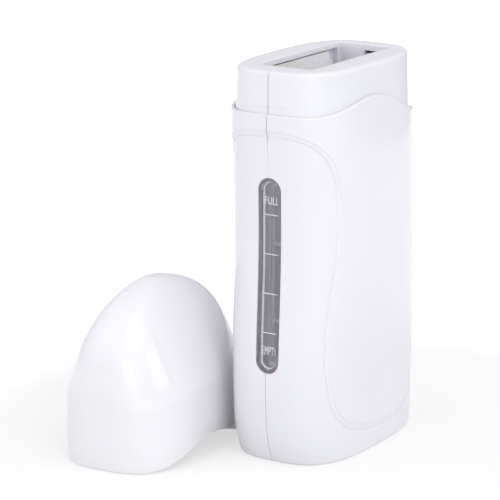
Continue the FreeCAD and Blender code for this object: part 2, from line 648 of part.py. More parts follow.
# ---------------------------------------------------------------- level window and lamp
def make_lens():
    """A clear pane with a flange behind the shells, a rim round a sunk face, and moulded level lines."""
    front = body_form(PANEL_DROP + LENS_RING_SINK)
    face = body_form(PANEL_DROP + LENS_FACE_SINK)
    ribs = body_form(PANEL_DROP + LENS_FACE_SINK - LINE_HEIGHT)
    behind_skin = body_form(SKIN_INSET + SLIP)
    back = body_form(SKIN_INSET + SLIP + LENS_FLANGE_THICK)
    x0, x1 = -FAR, -BODY_LONG_HALF / 2
    pane = front.common(window_cut(-LENS_CLEARANCE, x0, x1))
    pocket = window_cut(-LENS_RING_WIDE, x0, x1).cut(face)
    flange = behind_skin.common(window_cut(LENS_FLANGE, x0, x1))
    lines = []
    half = WINDOW_WIDE / 2 - LENS_RING_WIDE - LINE_MARGIN
    for i in range(LINE_COUNT):
        z = LINE_TOP_Z - i * LINE_PITCH
        lines.append(ribs.common(box(x0, x1, WINDOW_Y - half, WINDOW_Y + half, z - LINE_THICK / 2, z + LINE_THICK / 2)))
    pane = pane.fuse(flange).cut(back).cut(pocket)
    for rib in lines:
        pane = pane.fuse(rib.cut(back))
    save(pane, "window_lens")


def lens_back_x(z):
    """Where the lens' rear face stands in the parting plane at height z."""
    back = body_form(SKIN_INSET + SLIP + LENS_FLANGE_THICK)
    probe = back.common(box(-FAR, 0.0, LAMP_Y - SLIP, LAMP_Y + SLIP, z - SLIP, z + SLIP))
    return probe.optimalBoundingBox().XMin


LAMP_TIP_X = lens_back_x(LAMP_Z) + LAMP_TIP_GAP
LAMP_FRONT_X = LAMP_TIP_X + LAMP_D / 2
LAMP_BACK_X = LAMP_FRONT_X + LAMP_BODY
LAMP_END_X = LAMP_BACK_X + LAMP_RIM_THICK


def make_lamp():
    body = rod_x(LAMP_FRONT_X, LAMP_BACK_X, LAMP_Y, LAMP_Z, LAMP_D)
    dome = Part.makeSphere(LAMP_D / 2, Vector(LAMP_FRONT_X, LAMP_Y, LAMP_Z))
    rim = rod_x(LAMP_BACK_X, LAMP_END_X, LAMP_Y, LAMP_Z, LAMP_RIM_D)
    save(body.fuse([dome, rim]).removeSplitter(), "indicator_lamp")
    hole = rod_x(LAMP_TIP_X - CUT, LAMP_END_X, LAMP_Y, LAMP_Z, LAMP_D + 2 * SLIP)
    seat_x = LAMP_BACK_X
    block = box(seat_x - HOLDER_DEEP, seat_x, -FAR / 2, LAMP_Y + LAMP_RIM_D / 2 + SLIP,
                LAMP_Z - HOLDER_TALL / 2, LAMP_Z + HOLDER_TALL / 2)
    holder = block.common(body_form(SKIN_INSET + SLIP)).cut(hole)
    holder = holder.cut(body_flange_zone())
    save(holder, "lamp_holder")
    resistor = rod_z(RESISTOR_X, RESISTOR_Y, RESISTOR_Z, RESISTOR_Z + RESISTOR_LONG, RESISTOR_D)
    save(resistor, "lamp_resistor")


def body_flange_zone():
    """Room that the lens and its flange take behind the shells, with a little air."""
    air = 5 * SLIP
    zone = window_cut(LENS_FLANGE + air, -FAR, -BODY_LONG_HALF / 2)
    return zone.cut(body_form(SKIN_INSET + SLIP + LENS_FLANGE_THICK + air))


# ---------------------------------------------------------------- mains inlet
def make_inlet():
    mouth = inlet_block(0.0, INLET_BACK_X, FAR).common(body_form(PANEL_DROP + INLET_SINK))
    half_y, half_z = INLET_WIDE / 2 + FLANGE_EDGE, INLET_TALL / 2 + FLANGE_EDGE
    flange = rounded_block(FLANGE_X - FLANGE_THICK, FLANGE_X, -half_y, half_y, INLET_Z - half_z, INLET_Z + half_z,
                           FLANGE_EDGE, "x").common(body_form(SKIN_INSET + SLIP))
    socket = []
    for y in (-PIN_SPACING / 2, PIN_SPACING / 2):
        socket.append(rod_x(INLET_FLOOR_X, FAR, y, INLET_Z, SOCKET_D))
    bridge = box(INLET_FLOOR_X, FAR, -PIN_SPACING / 2, PIN_SPACING / 2, INLET_Z - SOCKET_D * 0.4, INLET_Z + SOCKET_D * 0.4)
    pins, holes = [], []
    for y in (-PIN_SPACING / 2, PIN_SPACING / 2):
        pin = rod_x(PIN_TAIL_X, PIN_TIP_X - PIN_D / 2, y, INLET_Z, PIN_D)
        tip = Part.makeSphere(PIN_D / 2, Vector(PIN_TIP_X - PIN_D / 2, y, INLET_Z))
        pins.append(pin.fuse(tip).removeSplitter())
        holes.append(rod_x(INLET_BACK_X - CUT, INLET_FLOOR_X + CUT, y, INLET_Z, PIN_D + 2 * SLIP))
    housing = mouth.fuse(flange).cut(socket + [bridge] + holes)
    save(housing, "inlet_housing")
    save(Part.makeCompound(pins), "inlet_pins")


# ---------------------------------------------------------------- wiring
TERMINAL_TOP_Z = TAB_FOOT_Z + TERMINAL_GRIP
TERMINAL_Z = TERMINAL_TOP_Z - TERMINAL_TALL / 2
LIVE_Y = INNER_ELECTRODE_Y + ELECTRODE_THICK / 2
NEUTRAL_Y = OUTER_ELECTRODE_Y + ELECTRODE_THICK / 2


def make_terminals():
    pieces = []
    for x, y in ((LIVE_TAB_X, LIVE_Y), (NEUTRAL_TAB_X, NEUTRAL_Y)):
        shell = rounded_block(x - TERMINAL_WIDE / 2, x + TERMINAL_WIDE / 2, y - TERMINAL_THICK / 2,
                              y + TERMINAL_THICK / 2, TERMINAL_TOP_Z - TERMINAL_TALL, TERMINAL_TOP_Z,
                              TERMINAL_THICK / 4, "z")
        half = TAB_WIDE / 2 + SLIP
        slot = box(x - half, x + half, y - ELECTRODE_THICK / 2 - SLIP, y + ELECTRODE_THICK / 2 + SLIP,
                   TAB_FOOT_Z, TERMINAL_TOP_Z + CUT)
        pieces.append(shell.cut(slot))
    save(Part.makeCompound(pieces), "push_terminals")


def make_wires():
    """Mains wires: pin to thermal fuse, fuse to the inner electrode, pin to the outer electrode."""
    pin_y = PIN_SPACING / 2
    behind_y = FUSE_Y + 0.8
    aside_x = WELL_X + CLAMP_SCREW_HEAD_D / 2 + 1.5 * WIRE_D
    fuse_foot = FUSE_LOW_Z - FUSE_LEAD_LONG
    fuse_head = FUSE_HIGH_Z + FUSE_LEAD_LONG
    under_z = WELL_FLOOR_Z - LINER_WALL - 9.5
    head_z = STACK_MID_Z - CLAMP_SCREW_REACH
    live = [
        (PIN_TAIL_X, -pin_y, INLET_Z), (PIN_TAIL_X - 6.0, -pin_y, INLET_Z), (WELL_X, 4.0, under_z),
        (WELL_X, behind_y, under_z + 2.0), (aside_x, behind_y, head_z - 8.0), (aside_x, behind_y, head_z + 8.0),
        (WELL_X, FUSE_Y, fuse_foot - 10.0), (WELL_X, FUSE_Y, fuse_foot),
    ]
    save(wire_tube(live, WIRE_D), "wire_live")
    terminal_side = NEUTRAL_TAB_X + TERMINAL_WIDE / 2
    neutral = [
        (PIN_TAIL_X, pin_y, INLET_Z), (PIN_TAIL_X - 3.5, pin_y, INLET_Z),
        (terminal_side + 3.5, NEUTRAL_Y, TERMINAL_Z), (terminal_side, NEUTRAL_Y, TERMINAL_Z),
    ]
    save(wire_tube(neutral, WIRE_D), "wire_neutral")
    down_x = LIVE_TAB_X - 1.6
    link = [
        (WELL_X, FUSE_Y, fuse_head), (WELL_X, FUSE_Y, fuse_head + 5.0), (WELL_X - 3.4, behind_y, fuse_head + 9.0),
        (down_x, behind_y, fuse_head + 2.0), (down_x, behind_y, TERMINAL_Z + 8.0),
        (LIVE_TAB_X, LIVE_Y + 5.5, TERMINAL_Z), (LIVE_TAB_X, LIVE_Y + TERMINAL_THICK / 2, TERMINAL_Z),
    ]
    save(wire_tube(link, WIRE_D), "wire_fuse_link")


def make_lamp_wires():
    """Leads of the lamp and its resistor, and the two thin wires that run under the well to the pins."""
    pin_y = PIN_SPACING / 2
    gap_x = (LAMP_END_X + WELL_WIN_X - LINER_WALL) / 2
    pin_top = INLET_Z + PIN_D / 2 + SLIP
    solder_x = PIN_TAIL_X + 2.6
    under_z = WELL_FLOOR_Z - LINER_WALL - 3.6
    lead = [
        (LAMP_END_X, LAMP_Y - 1.2, LAMP_Z), (gap_x, LAMP_Y - 1.2, LAMP_Z),
        (gap_x, RESISTOR_Y, RESISTOR_Z - 3.4), (RESISTOR_X, RESISTOR_Y, RESISTOR_Z - 2.2),
        (RESISTOR_X, RESISTOR_Y, RESISTOR_Z),
    ]
    resistor_top = RESISTOR_Z + RESISTOR_LONG
    live = [
        (RESISTOR_X, RESISTOR_Y, resistor_top), (RESISTOR_X, RESISTOR_Y, resistor_top + 2.6),
        (gap_x, RESISTOR_Y - 3.2, resistor_top + 3.2), (gap_x, RESISTOR_Y - 4.2, resistor_top - 3.0),
        (gap_x, RESISTOR_Y - 3.6, under_z), (PIN_TAIL_X - 8.0, -pin_y - 3.6, under_z),
        (solder_x, -pin_y, under_z + 0.4), (solder_x, -pin_y, pin_top),
    ]
    neutral = [
        (LAMP_END_X, LAMP_Y + 1.2, LAMP_Z), (gap_x, LAMP_Y + 1.2, LAMP_Z), (gap_x, LAMP_Y + 2.0, under_z),
        (PIN_TAIL_X - 8.0, pin_y - 1.6, under_z), (solder_x, pin_y, under_z + 0.4), (solder_x, pin_y, pin_top),
    ]
    tubes = [wire_tube(lead, FUSE_LEAD_D), wire_tube(live, LAMP_WIRE_D), wire_tube(neutral, LAMP_WIRE_D)]
    save(Part.makeCompound(tubes), "lamp_wires")


# ---------------------------------------------------------------- shell screws
def make_screws():
    screws = []
    for x, z, _gap, seat_y in SCREW_PLACES:
        shank = rod_y(x, z, -SCREW_REACH_FRONT, seat_y + SLIP, SCREW_D)
        head = rod_y(x, z, seat_y, seat_y + SCREW_HEAD_TALL, SCREW_HEAD_D)
        recess = cross_recess(x, z, seat_y + SCREW_HEAD_TALL, SCREW_HEAD_D * 0.6, SCREW_HEAD_TALL * 0.6)
        screws.append(shank.fuse(head).cut(recess))
    save(Part.makeCompound(screws), "shell_screws")


# ---------------------------------------------------------------- cap
def cap_form(inset, top_inset):
    """The cap's solid dome in the body's closed frame, brought in by inset and top_inset."""
    height = CAP_HEIGHT - top_inset
    foot = -HUMP_RISE
    rows = 16
    wires = []
    for i in range(rows + 1):
        if i == 0:
            up = foot
        else:
            up = height * math.sin(math.pi / 2 * (i - 1) / (rows - 0.4))
        share = min(max(up, 0.0) / height, 1.0)
        s_long = max(0.0, (up - CAP_SKIRT_LONG) / (height - CAP_SKIRT_LONG))
        s_thick = max(0.0, (up - CAP_SKIRT_THICK) / (height - CAP_SKIRT_THICK))
        long_half = (BODY_LONG_HALF - inset - CAP_LONG_TAPER * share)
        long_half *= (1 - s_long ** CAP_LONG_BELLY) ** (1 / CAP_LONG_ROUND)
        thick_half = (BODY_THICK_HALF - inset - CAP_THICK_TAPER * share)
        thick_half *= (1 - s_thick ** CAP_THICK_BELLY) ** (1 / CAP_THICK_ROUND)
        power = SECTION_POWER - CAP_POWER_DROP * share
        wires.append(oval(SHOULDER_Z + up, long_half, long_half, thick_half, power))
    return Part.makeLoft(wires, True, False)


def make_cap():
    shell = cap_form(0.0, 0.0).cut(cap_form(CAP_WALL, CAP_TOP_WALL))
    shell = shell.common(above_wave(CAP_RIM_GAP))
    grooves = neck_beads(BEAD_HEIGHT + 2 * CAP_RIM_GAP)
    shell = shell.cut(grooves)
    shell.translate(Vector(0, 0, -SHOULDER_Z))
    lean = -math.degrees(math.atan(SHOULDER_SLOPE))
    shell.rotate(Vector(0, 0, 0), Vector(0, 1, 0), lean)
    shell.rotate(Vector(0, 0, 0), Vector(0, 0, 1), CAP_STANDS_TURN)
    shell.translate(Vector(CAP_STANDS_X, CAP_STANDS_Y, 0))
    shell.translate(Vector(0, 0, -shell.optimalBoundingBox().ZMin))
    save(shell, "cap_shell")


make_shells()
make_liner()
make_plate()
make_stack()
make_clamp()
make_fuse()
make_lens()
make_lamp()
make_inlet()
make_terminals()
make_wires()
make_lamp_wires()
make_screws()
make_cap()
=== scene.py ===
# %% [markdown]
# # A roll-on wax heater
# The object is a hand-held heater for roll-on wax. Two glossy white shells meet on the centre line of its
# narrow sides. A cartridge drops into the well at the top and is pressed against a heating plate. A level
# window with a red lamp behind it is let into one narrow side, and a domed cap stands beside the body.
#
# The CAD model gives every solid its size and place. This lesson gives the visible ones their real
# surfaces. Pieces whose rounding and bevels matter are made afresh from formulas, and the rest keep their
# solids and get materials.

# %% Load the measured frame
import json
import math

import bmesh
import bpy
import numpy as np
from mathutils import Matrix, Vector

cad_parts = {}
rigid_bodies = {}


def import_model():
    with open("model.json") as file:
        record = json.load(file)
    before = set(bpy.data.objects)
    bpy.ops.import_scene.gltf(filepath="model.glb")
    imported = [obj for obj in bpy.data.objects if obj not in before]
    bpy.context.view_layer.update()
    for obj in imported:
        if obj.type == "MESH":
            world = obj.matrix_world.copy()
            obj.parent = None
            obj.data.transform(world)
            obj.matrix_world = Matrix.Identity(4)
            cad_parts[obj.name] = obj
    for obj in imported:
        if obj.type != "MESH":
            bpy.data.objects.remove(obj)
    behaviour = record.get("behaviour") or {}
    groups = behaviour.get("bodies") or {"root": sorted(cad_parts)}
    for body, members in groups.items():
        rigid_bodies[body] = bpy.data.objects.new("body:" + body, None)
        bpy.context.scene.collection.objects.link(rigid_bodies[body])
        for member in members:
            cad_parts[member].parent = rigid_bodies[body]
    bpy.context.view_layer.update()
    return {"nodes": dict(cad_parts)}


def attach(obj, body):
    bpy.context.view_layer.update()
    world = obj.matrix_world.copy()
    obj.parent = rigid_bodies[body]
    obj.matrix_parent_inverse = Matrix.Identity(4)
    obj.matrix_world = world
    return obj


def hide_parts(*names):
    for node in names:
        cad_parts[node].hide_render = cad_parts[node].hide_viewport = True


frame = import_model()
MM = 0.001


# %% [markdown]
# ## Camera
# The picture is a product shot through a long lens, a little above the object. A long lens keeps upright
# edges almost parallel. The camera is placed first, so that every later render is judged from the same
# point.

# %% Camera
CAMERA_AT = Vector((-0.83564, -0.49823, 0.31929))
CAMERA_BEARING, CAMERA_RISE = 32.43, -14.106
LENS_MM, SENSOR_MM = 188.91, 36.0


def link_object(name, data):
    """A new object with this data, linked to the scene."""
    piece = bpy.data.objects.new(name, data)
    bpy.context.scene.collection.objects.link(piece)
    return piece


def heading(bearing, rise):
    """Unit vector for a bearing and an angle above the floor, both in degrees."""
    turn, up = math.radians(bearing), math.radians(rise)
    return Vector((math.cos(up) * math.cos(turn), math.cos(up) * math.sin(turn), math.sin(up)))


def look_along(piece, place, way):
    """Put a camera or a lamp at place, facing along way."""
    piece.matrix_world = Matrix.Translation(place) @ way.to_track_quat("-Z", "Y").to_matrix().to_4x4()


camera_data = bpy.data.cameras.new("product_camera")
camera_data.lens, camera_data.sensor_width = LENS_MM, SENSOR_MM
camera = link_object("product_camera", camera_data)
look_along(camera, CAMERA_AT, heading(CAMERA_BEARING, CAMERA_RISE))
bpy.context.scene.camera = camera
print("camera", round(CAMERA_AT.length, 2), "m away, with a lens of", LENS_MM, "mm")


# %% [markdown]
# ## Helpers for meshes
# Most pieces are a sheet of rows and columns of points, worked out with numpy. A sheet becomes a mesh with
# one quad between four neighbours. Closed pieces have their doubled points merged and their normals turned
# outwards, and then get smooth shading with sharp edges only where the surface really turns.

# %% Mesh helpers
MERGE_WITHIN, SHARP_DEGREES = 2e-6, 34.0


def sheet_faces(rows, columns):
    """Quads between neighbouring rows and columns of a sheet of points."""
    row, column = np.meshgrid(np.arange(rows - 1), np.arange(columns - 1), indexing="ij")
    corner = (row * columns + column).ravel()
    return np.stack([corner, corner + 1, corner + columns + 1, corner + columns], axis=1).tolist()


def tidy(mesh):
    """Merge doubled points, drop faces with no area and turn the closed mesh's normals outwards."""
    work = bmesh.new()
    work.from_mesh(mesh)
    bmesh.ops.remove_doubles(work, verts=work.verts, dist=MERGE_WITHIN)
    bmesh.ops.dissolve_degenerate(work, edges=work.edges, dist=MERGE_WITHIN / 4)
    bmesh.ops.recalc_face_normals(work, faces=work.faces)
    work.to_mesh(mesh)
    work.free()


def shade(mesh):
    """Smooth shading that keeps the real edges sharp."""
    mesh.shade_smooth()
    mesh.set_sharp_from_angle(angle=math.radians(SHARP_DEGREES))


def mesh_piece(name, points_mm, faces):
    """A finished closed piece from points in millimetres."""
    mesh = bpy.data.meshes.new(name)
    mesh.from_pydata((np.asarray(points_mm) * MM).tolist(), [], faces)
    tidy(mesh)
    shade(mesh)
    return link_object(name, mesh)


def report(piece):
    """Print a piece's size; a closed piece has no edge that joins fewer or more than two faces."""
    work = bmesh.new()
    work.from_mesh(piece.data)
    open_edges = sum(1 for edge in work.edges if len(edge.link_faces) != 2)
    work.free()
    print(piece.name, "faces", len(piece.data.polygons), "open edges", open_edges)


# %% [markdown]
# ## Helpers for cuts
# Openings and bosses are cut and joined with the exact Boolean modifier, because the cutters meet curved
# walls at odd angles. The result is read back as a plain mesh, and modifier and cutter are removed, so
# nothing live stays.

# %% Boolean helpers
def evaluated_mesh(piece):
    """The piece's mesh with its modifiers applied."""
    bpy.context.view_layer.update()
    return bpy.data.meshes.new_from_object(piece.evaluated_get(bpy.context.evaluated_depsgraph_get()))


def carve(piece, cutter, operation):
    """Cut the cutter out of the piece, join it or keep what both share, and use the cutter up."""
    step = piece.modifiers.new("carve", "BOOLEAN")
    step.operation, step.solver, step.object = operation, "EXACT", cutter
    result = evaluated_mesh(piece)
    piece.modifiers.remove(step)
    old, piece.data = piece.data, result
    bpy.data.meshes.remove(old)
    bpy.data.objects.remove(cutter)


# %% [markdown]
# ## The body's form
# Seen from above, the body is a flattened oval, a superellipse: fuller than an ellipse and softer than a
# rounded rectangle. Its reach changes up the body, so that the window side has a light S-curve and the
# other side leans in. A natural cubic spline through the measured stations gives each reach at any height.

# %% Stations of the body
STATION_Z = np.array([0.0, 6.0, 22.0, 46.0, 78.0, 108.0, 134.25, 145.5])
REACH_WINDOW = np.array([35.8, 38.4, 41.1, 41.1, 39.7, 39.8, 40.4, 40.4])
REACH_BACK = np.array([46.0, 45.8, 45.5, 45.2, 44.4, 42.8, 40.8, 40.8])
REACH_THICK = np.array([23.9, 24.4, 24.7, 24.9, 25.2, 25.5, 25.6, 25.6])
OVAL_POWER = 3.1


def spline(knots, values):
    """A natural cubic spline as a function of height."""
    step, rise = np.diff(knots), np.diff(values) / np.diff(knots)
    count = len(knots)
    system, load = np.eye(count), np.zeros(count)
    for i in range(1, count - 1):
        system[i, i - 1:i + 2] = step[i - 1], 2 * (step[i - 1] + step[i]), step[i]
        load[i] = 6 * (rise[i] - rise[i - 1])
    bend = np.linalg.solve(system, load)

    def at(z):
        z = np.clip(z, knots[0], knots[-1])
        i = np.clip(np.searchsorted(knots, z, side="right") - 1, 0, count - 2)
        a, h = z - knots[i], step[i]
        slope = rise[i] - h * (2 * bend[i] + bend[i + 1]) / 6
        return values[i] + a * (slope + a * (bend[i] / 2 + a * (bend[i + 1] - bend[i]) / (6 * h)))

    return at


reach_window = spline(STATION_Z, REACH_WINDOW)
reach_back = spline(STATION_Z, REACH_BACK)
reach_thick = spline(STATION_Z, REACH_THICK)


def oval(turn, window, back, thick):
    """Point of the flattened oval: turn 0 faces the window, pi the back."""
    c, s = np.cos(turn), np.sin(turn)
    reach = np.where(c > 0, window, back)
    radius = (np.abs(c / reach) ** OVAL_POWER + np.abs(s / thick) ** OVAL_POWER) ** (-1 / OVAL_POWER)
    return -radius * c, radius * s


def body_oval(turn, z, inset):
    return oval(turn, reach_window(z) - inset, reach_back(z) - inset, reach_thick(z) - inset)


def window_side_x(y, z, inset):
    """Where the body's window side stands at y and z."""
    thick = reach_thick(z) - inset
    return -(reach_window(z) - inset) * (1 - (np.abs(y) / thick) ** OVAL_POWER) ** (1 / OVAL_POWER)


print("body at half height", [round(float(at(75.0)), 1) for at in (reach_window, reach_back, reach_thick)])


# %% [markdown]
# ## Shoulder and neck
# The top of the body is a waved line with one hump on each wide face, where the cap's rim comes down.
# Inside it the neck rises to a level rim. Both follow simple rules, so they are functions too.

# %% Shoulder and neck
SHOULDER_Z, SHOULDER_SLOPE, HUMP_RISE, HUMP_X, HUMP_REACH = 130.5, 0.094, 7.5, -3.0, 36.0
RIM_Z, NECK_LONG, NECK_THICK, NECK_DRAFT = 150.0, 39.3, 24.1, 1.2
NECK_RISE = RIM_Z - SHOULDER_Z
RIM_ROUND, LIP_ROUND = 1.7, 0.6
WELL_X, WELL_LONG, WELL_WIDE, WELL_CORNER, WELL_EDGE = 1.7, 58.0, 23.1, 1.5, 0.35


def shoulder_z(x):
    off = np.clip(np.abs(x - HUMP_X) / HUMP_REACH, 0.0, 1.0)
    return SHOULDER_Z - SHOULDER_SLOPE * x + HUMP_RISE * np.cos(off * math.pi / 2) ** 2


def neck_oval(turn, z, inset):
    thick = NECK_THICK - NECK_DRAFT * (z - SHOULDER_Z) / NECK_RISE
    return oval(turn, NECK_LONG - inset, NECK_LONG - inset, thick - inset)


def well_edge(x, y, grow):
    """Point of the well's rounded opening on the ray from its centre through x, y."""
    long_half, wide_half, corner = WELL_LONG / 2 + grow, WELL_WIDE / 2 + grow, WELL_CORNER + grow
    dx, dy = x - WELL_X, y
    ax, ay = np.abs(dx) + 1e-9, np.abs(dy) + 1e-9
    scale = np.minimum(long_half / ax, wide_half / ay)
    px, py = ax * scale, ay * scale
    in_corner = (px > long_half - corner) & (py > wide_half - corner)
    cx, cy = long_half - corner, wide_half - corner
    size = ax ** 2 + ay ** 2
    along = (ax * cx + ay * cy) / size
    reach = np.sqrt(np.maximum(along ** 2 - (cx ** 2 + cy ** 2 - corner ** 2) / size, 0.0))
    bent = along + reach
    px, py = np.where(in_corner, ax * bent, px), np.where(in_corner, ay * bent, py)
    return WELL_X + np.sign(dx) * px, np.sign(dy) * py


print("shoulder", round(float(shoulder_z(HUMP_X)), 1), "mm high on its humps, rim at", RIM_Z, "mm")


# %% [markdown]
# ## Styling lines
# A raised panel wraps the wide face and the shoulder. A narrow bevel leads down from it to the narrow
# sides, which lie a little lower. The two edges of the bevel are curves in the side view. The distance of a
# point from both curves says how deep it lies: a small step at each edge and a slope between them.

# %% Styling lines
PANEL_EDGE = [(-41.5, 128.7), (-40.3, 128.0), (-39.2, 127.1), (-37.0, 125.5), (-34.6, 123.4),
              (-31.6, 120.3), (-28.6, 116.2), (-26.5, 110.0), (-25.3, 103.0), (-24.6, 95.0),
              (-24.7, 87.0), (-25.5, 78.5), (-27.8, 64.7), (-28.9, 57.0), (-29.7, 48.0), (-29.9, 40.0),
              (-29.1, 32.0), (-26.9, 23.6), (-22.6, 17.6), (-15.7, 13.8), (-7.0, 11.5), (3.0, 10.0),
              (11.5, 10.0), (19.0, 11.0), (28.0, 16.2), (33.3, 30.0), (34.6, 50.0), (33.4, 75.0),
              (35.4, 98.0), (42.5, 119.0)]
BEVEL_EDGE = [(-41.5, 126.3), (-40.1, 125.8), (-38.9, 125.0), (-36.5, 122.9), (-34.4, 120.8),
              (-32.4, 118.5), (-30.7, 115.6), (-28.6, 110.0), (-27.4, 103.0), (-26.8, 95.0),
              (-27.0, 87.0), (-27.8, 78.5), (-30.2, 64.7), (-31.4, 57.0), (-32.0, 48.0), (-32.1, 40.0),
              (-31.3, 32.0), (-28.9, 22.4), (-24.0, 15.8), (-16.6, 11.7), (-7.5, 9.3), (3.0, 7.9),
              (12.0, 7.9), (19.6, 9.0), (29.6, 14.4), (35.6, 29.0), (36.8, 50.0), (35.8, 75.0),
              (37.8, 98.0), (43.0, 116.3)]
PANEL_DROP, PANEL_STEP, STEP_SOFT = 0.45, 0.26, 0.25
CREASE_DEEP, CREASE_HALF = 0.30, 0.34
FAR_OUT, FAR_UP = 90, 200


def flowing(points, pieces=10):
    """A smooth open line through points (Catmull-Rom)."""
    p = np.array([points[0]] + points + [points[-1]], dtype=float)
    t = np.linspace(0, 1, pieces, endpoint=False)[:, None]
    runs = []
    for a, b, c, d in zip(p, p[1:], p[2:], p[3:]):
        runs.append(b + 0.5 * t * (c - a + t * (2 * a - 5 * b + 4 * c - d + t * (3 * b - a - 3 * c + d))))
    return np.vstack(runs + [p[-1:]])


def signed_distance(x, z, line):
    """Distance of each point from a styling line, positive on the raised side."""
    shape = x.shape
    x, z = x.ravel(), z.ravel()
    nearest = np.full(x.shape, 1e9)
    for (ax, az), (bx, bz) in zip(line, line[1:]):
        run = (bx - ax) ** 2 + (bz - az) ** 2
        t = np.clip(((x - ax) * (bx - ax) + (z - az) * (bz - az)) / run, 0, 1)
        nearest = np.minimum(nearest, np.hypot(x - ax - t * (bx - ax), z - az - t * (bz - az)))
    loop = np.vstack([[(-FAR_OUT, line[0][1])], line,
                      [(FAR_OUT, line[-1][1]), (FAR_OUT, FAR_UP), (-FAR_OUT, FAR_UP)]])
    inside = np.zeros(x.shape, dtype=bool)
    for (ax, az), (bx, bz) in zip(loop, np.roll(loop, -1, axis=0)):
        if az == bz:
            continue
        inside ^= ((az > z) != (bz > z)) & (x < (bx - ax) * (z - az) / (bz - az) + ax)
    return np.where(inside, nearest, -nearest).reshape(shape)


def soft_step(d, soft):
    """Rises smoothly from 0 to 1 while d goes from -soft to soft."""
    t = np.clip(d / (2 * soft) + 0.5, 0, 1)
    return t * t * (3 - 2 * t)


panel_line, bevel_line = flowing(PANEL_EDGE), flowing(BEVEL_EDGE)


def panel_depth(x, z):
    """How far the outside lies below the raised panel: a step, a gentle slope, then a fine crease."""
    to_panel, to_bevel = signed_distance(x, z, panel_line), signed_distance(x, z, bevel_line)
    past_panel, before_bevel = np.clip(-to_panel, 0, None), np.clip(to_bevel, 0, None)
    across = np.where(to_panel > 0, 0.0, past_panel / (past_panel + before_bevel + 1e-6))
    crease = CREASE_DEEP * np.clip(1 - np.abs(to_bevel) / CREASE_HALF, 0, 1)
    return PANEL_STEP * soft_step(-to_panel, STEP_SOFT) + (PANEL_DROP - PANEL_STEP) * across + crease


print("styling lines of", len(panel_line), "and", len(bevel_line), "points")


# %% [markdown]
# ## The two shells
# Each shell is one closed sheet. Its columns run half way round the body, from one parting edge to the
# other. They stand a third of a millimetre apart near the window, where the bevels are, and up to a
# millimetre apart elsewhere.

# %% Columns around the half oval
FINE_STEP, PLAIN_STEP, BACK_STEP, STEP_EASE = 0.34, 0.95, 0.42, 3.0
FINE_UNTIL_X, FINE_FROM_X, MEASURE_Z, SAMPLES = -20.0, 28.0, 70.0, 4001
SEAM_WIDE, EDGE_CLEAR = 0.21, 0.3


def spaced(length, start_fine, end_fine, start_step, end_step):
    """Marks along a run: start_step up to start_fine, end_step from end_fine on, and plain between."""
    at = np.linspace(0, length, SAMPLES)
    plain = soft_step(at - start_fine, STEP_EASE) * soft_step(end_fine - at, STEP_EASE)
    step = np.where(at < (start_fine + end_fine) / 2, start_step, end_step) * (1 - plain) + PLAIN_STEP * plain
    tally = np.concatenate([[0], np.cumsum(np.diff(at) / step[1:])])
    return np.interp(np.linspace(0, tally[-1], int(tally[-1]) + 2), tally, at)


def shell_turns():
    """Turns of the columns, with one extra column beside each parting edge for the seam's groove."""
    turn = np.linspace(0, math.pi, SAMPLES)
    x, y = body_oval(turn, np.full_like(turn, MEASURE_Z), 0.0)
    along = np.concatenate([[0], np.cumsum(np.hypot(np.diff(x), np.diff(y)))])
    end = along[-1]
    fine_until, fine_from = np.interp((FINE_UNTIL_X, FINE_FROM_X), x, along)
    marks = spaced(end, fine_until, fine_from, FINE_STEP, BACK_STEP)
    from_edge = np.minimum(marks, end - marks)
    marks = marks[(from_edge < 0.01) | (from_edge > EDGE_CLEAR)]
    return np.interp(np.sort(np.concatenate([marks, [SEAM_WIDE, end - SEAM_WIDE]])), along, turn)


turns = shell_turns()
print("columns in half a shell", len(turns))


# %% [markdown]
# Where the neck leaves the shoulder a fine crease runs round it. Each narrow side of the neck also carries
# a small snap bead that holds the cap. Both are part of the sheet: the crease is a few extra rows, the bead
# a soft swelling.

# %% Crease and snap beads
FOOT_CREASE = [(0.50, 0.0), (0.40, -0.08), (0.34, -0.25), (0.28, -0.8), (0.03, -0.8), (0.0, -0.6), (0.0, 0.0)]
BEAD_ABOVE, BEAD_TALL, BEAD_HALF_LONG, BEAD_PROUD, BEAD_SHIFT, BEAD_EASE = 3.3, 1.4, 6.7, 0.2, -1.2, 0.8


def snap_bead(turn, z, side):
    """How far the snap beads on the neck's two narrow sides stand proud; the window's one sits off centre."""
    x, y = neck_oval(turn, z, 0.0)
    middle = shoulder_z(np.sign(x) * NECK_LONG) + BEAD_ABOVE
    tall = np.clip(1 - ((z - middle) / (BEAD_TALL / 2)) ** 2, 0, 1)
    off = np.abs(side * y - np.where(x < 0, BEAD_SHIFT, 0.0))
    return BEAD_PROUD * tall * soft_step(BEAD_HALF_LONG - off, BEAD_EASE)


print("crease of", len(FOOT_CREASE), "rows, beads", 2 * BEAD_HALF_LONG, "mm long")


# %% [markdown]
# The rows start in the middle of the base, run up the outside, over the shoulder, up the neck and over the
# rim to the edge of the well. Each row also says which way the seam's groove runs in it: into the side, or
# down from the top.

# %% Outside rows of a shell
BASE_ROUND, BASE_SHARES = 1.0, (0.0, 0.25, 0.5, 0.7, 0.85, 0.95)
CALM_FROM, CALM_UNTIL, LIP_MEASURE_Z, NECK_ROWS = 25.0, 106.0, 134.0, 46
RIM_SHARES, RIM_SEAM_WAY = (0.3, 0.65), (0.0, 0.3)


def quarter(steps):
    return np.linspace(0, math.pi / 2, steps)


def level(z):
    return np.full_like(turns, z)


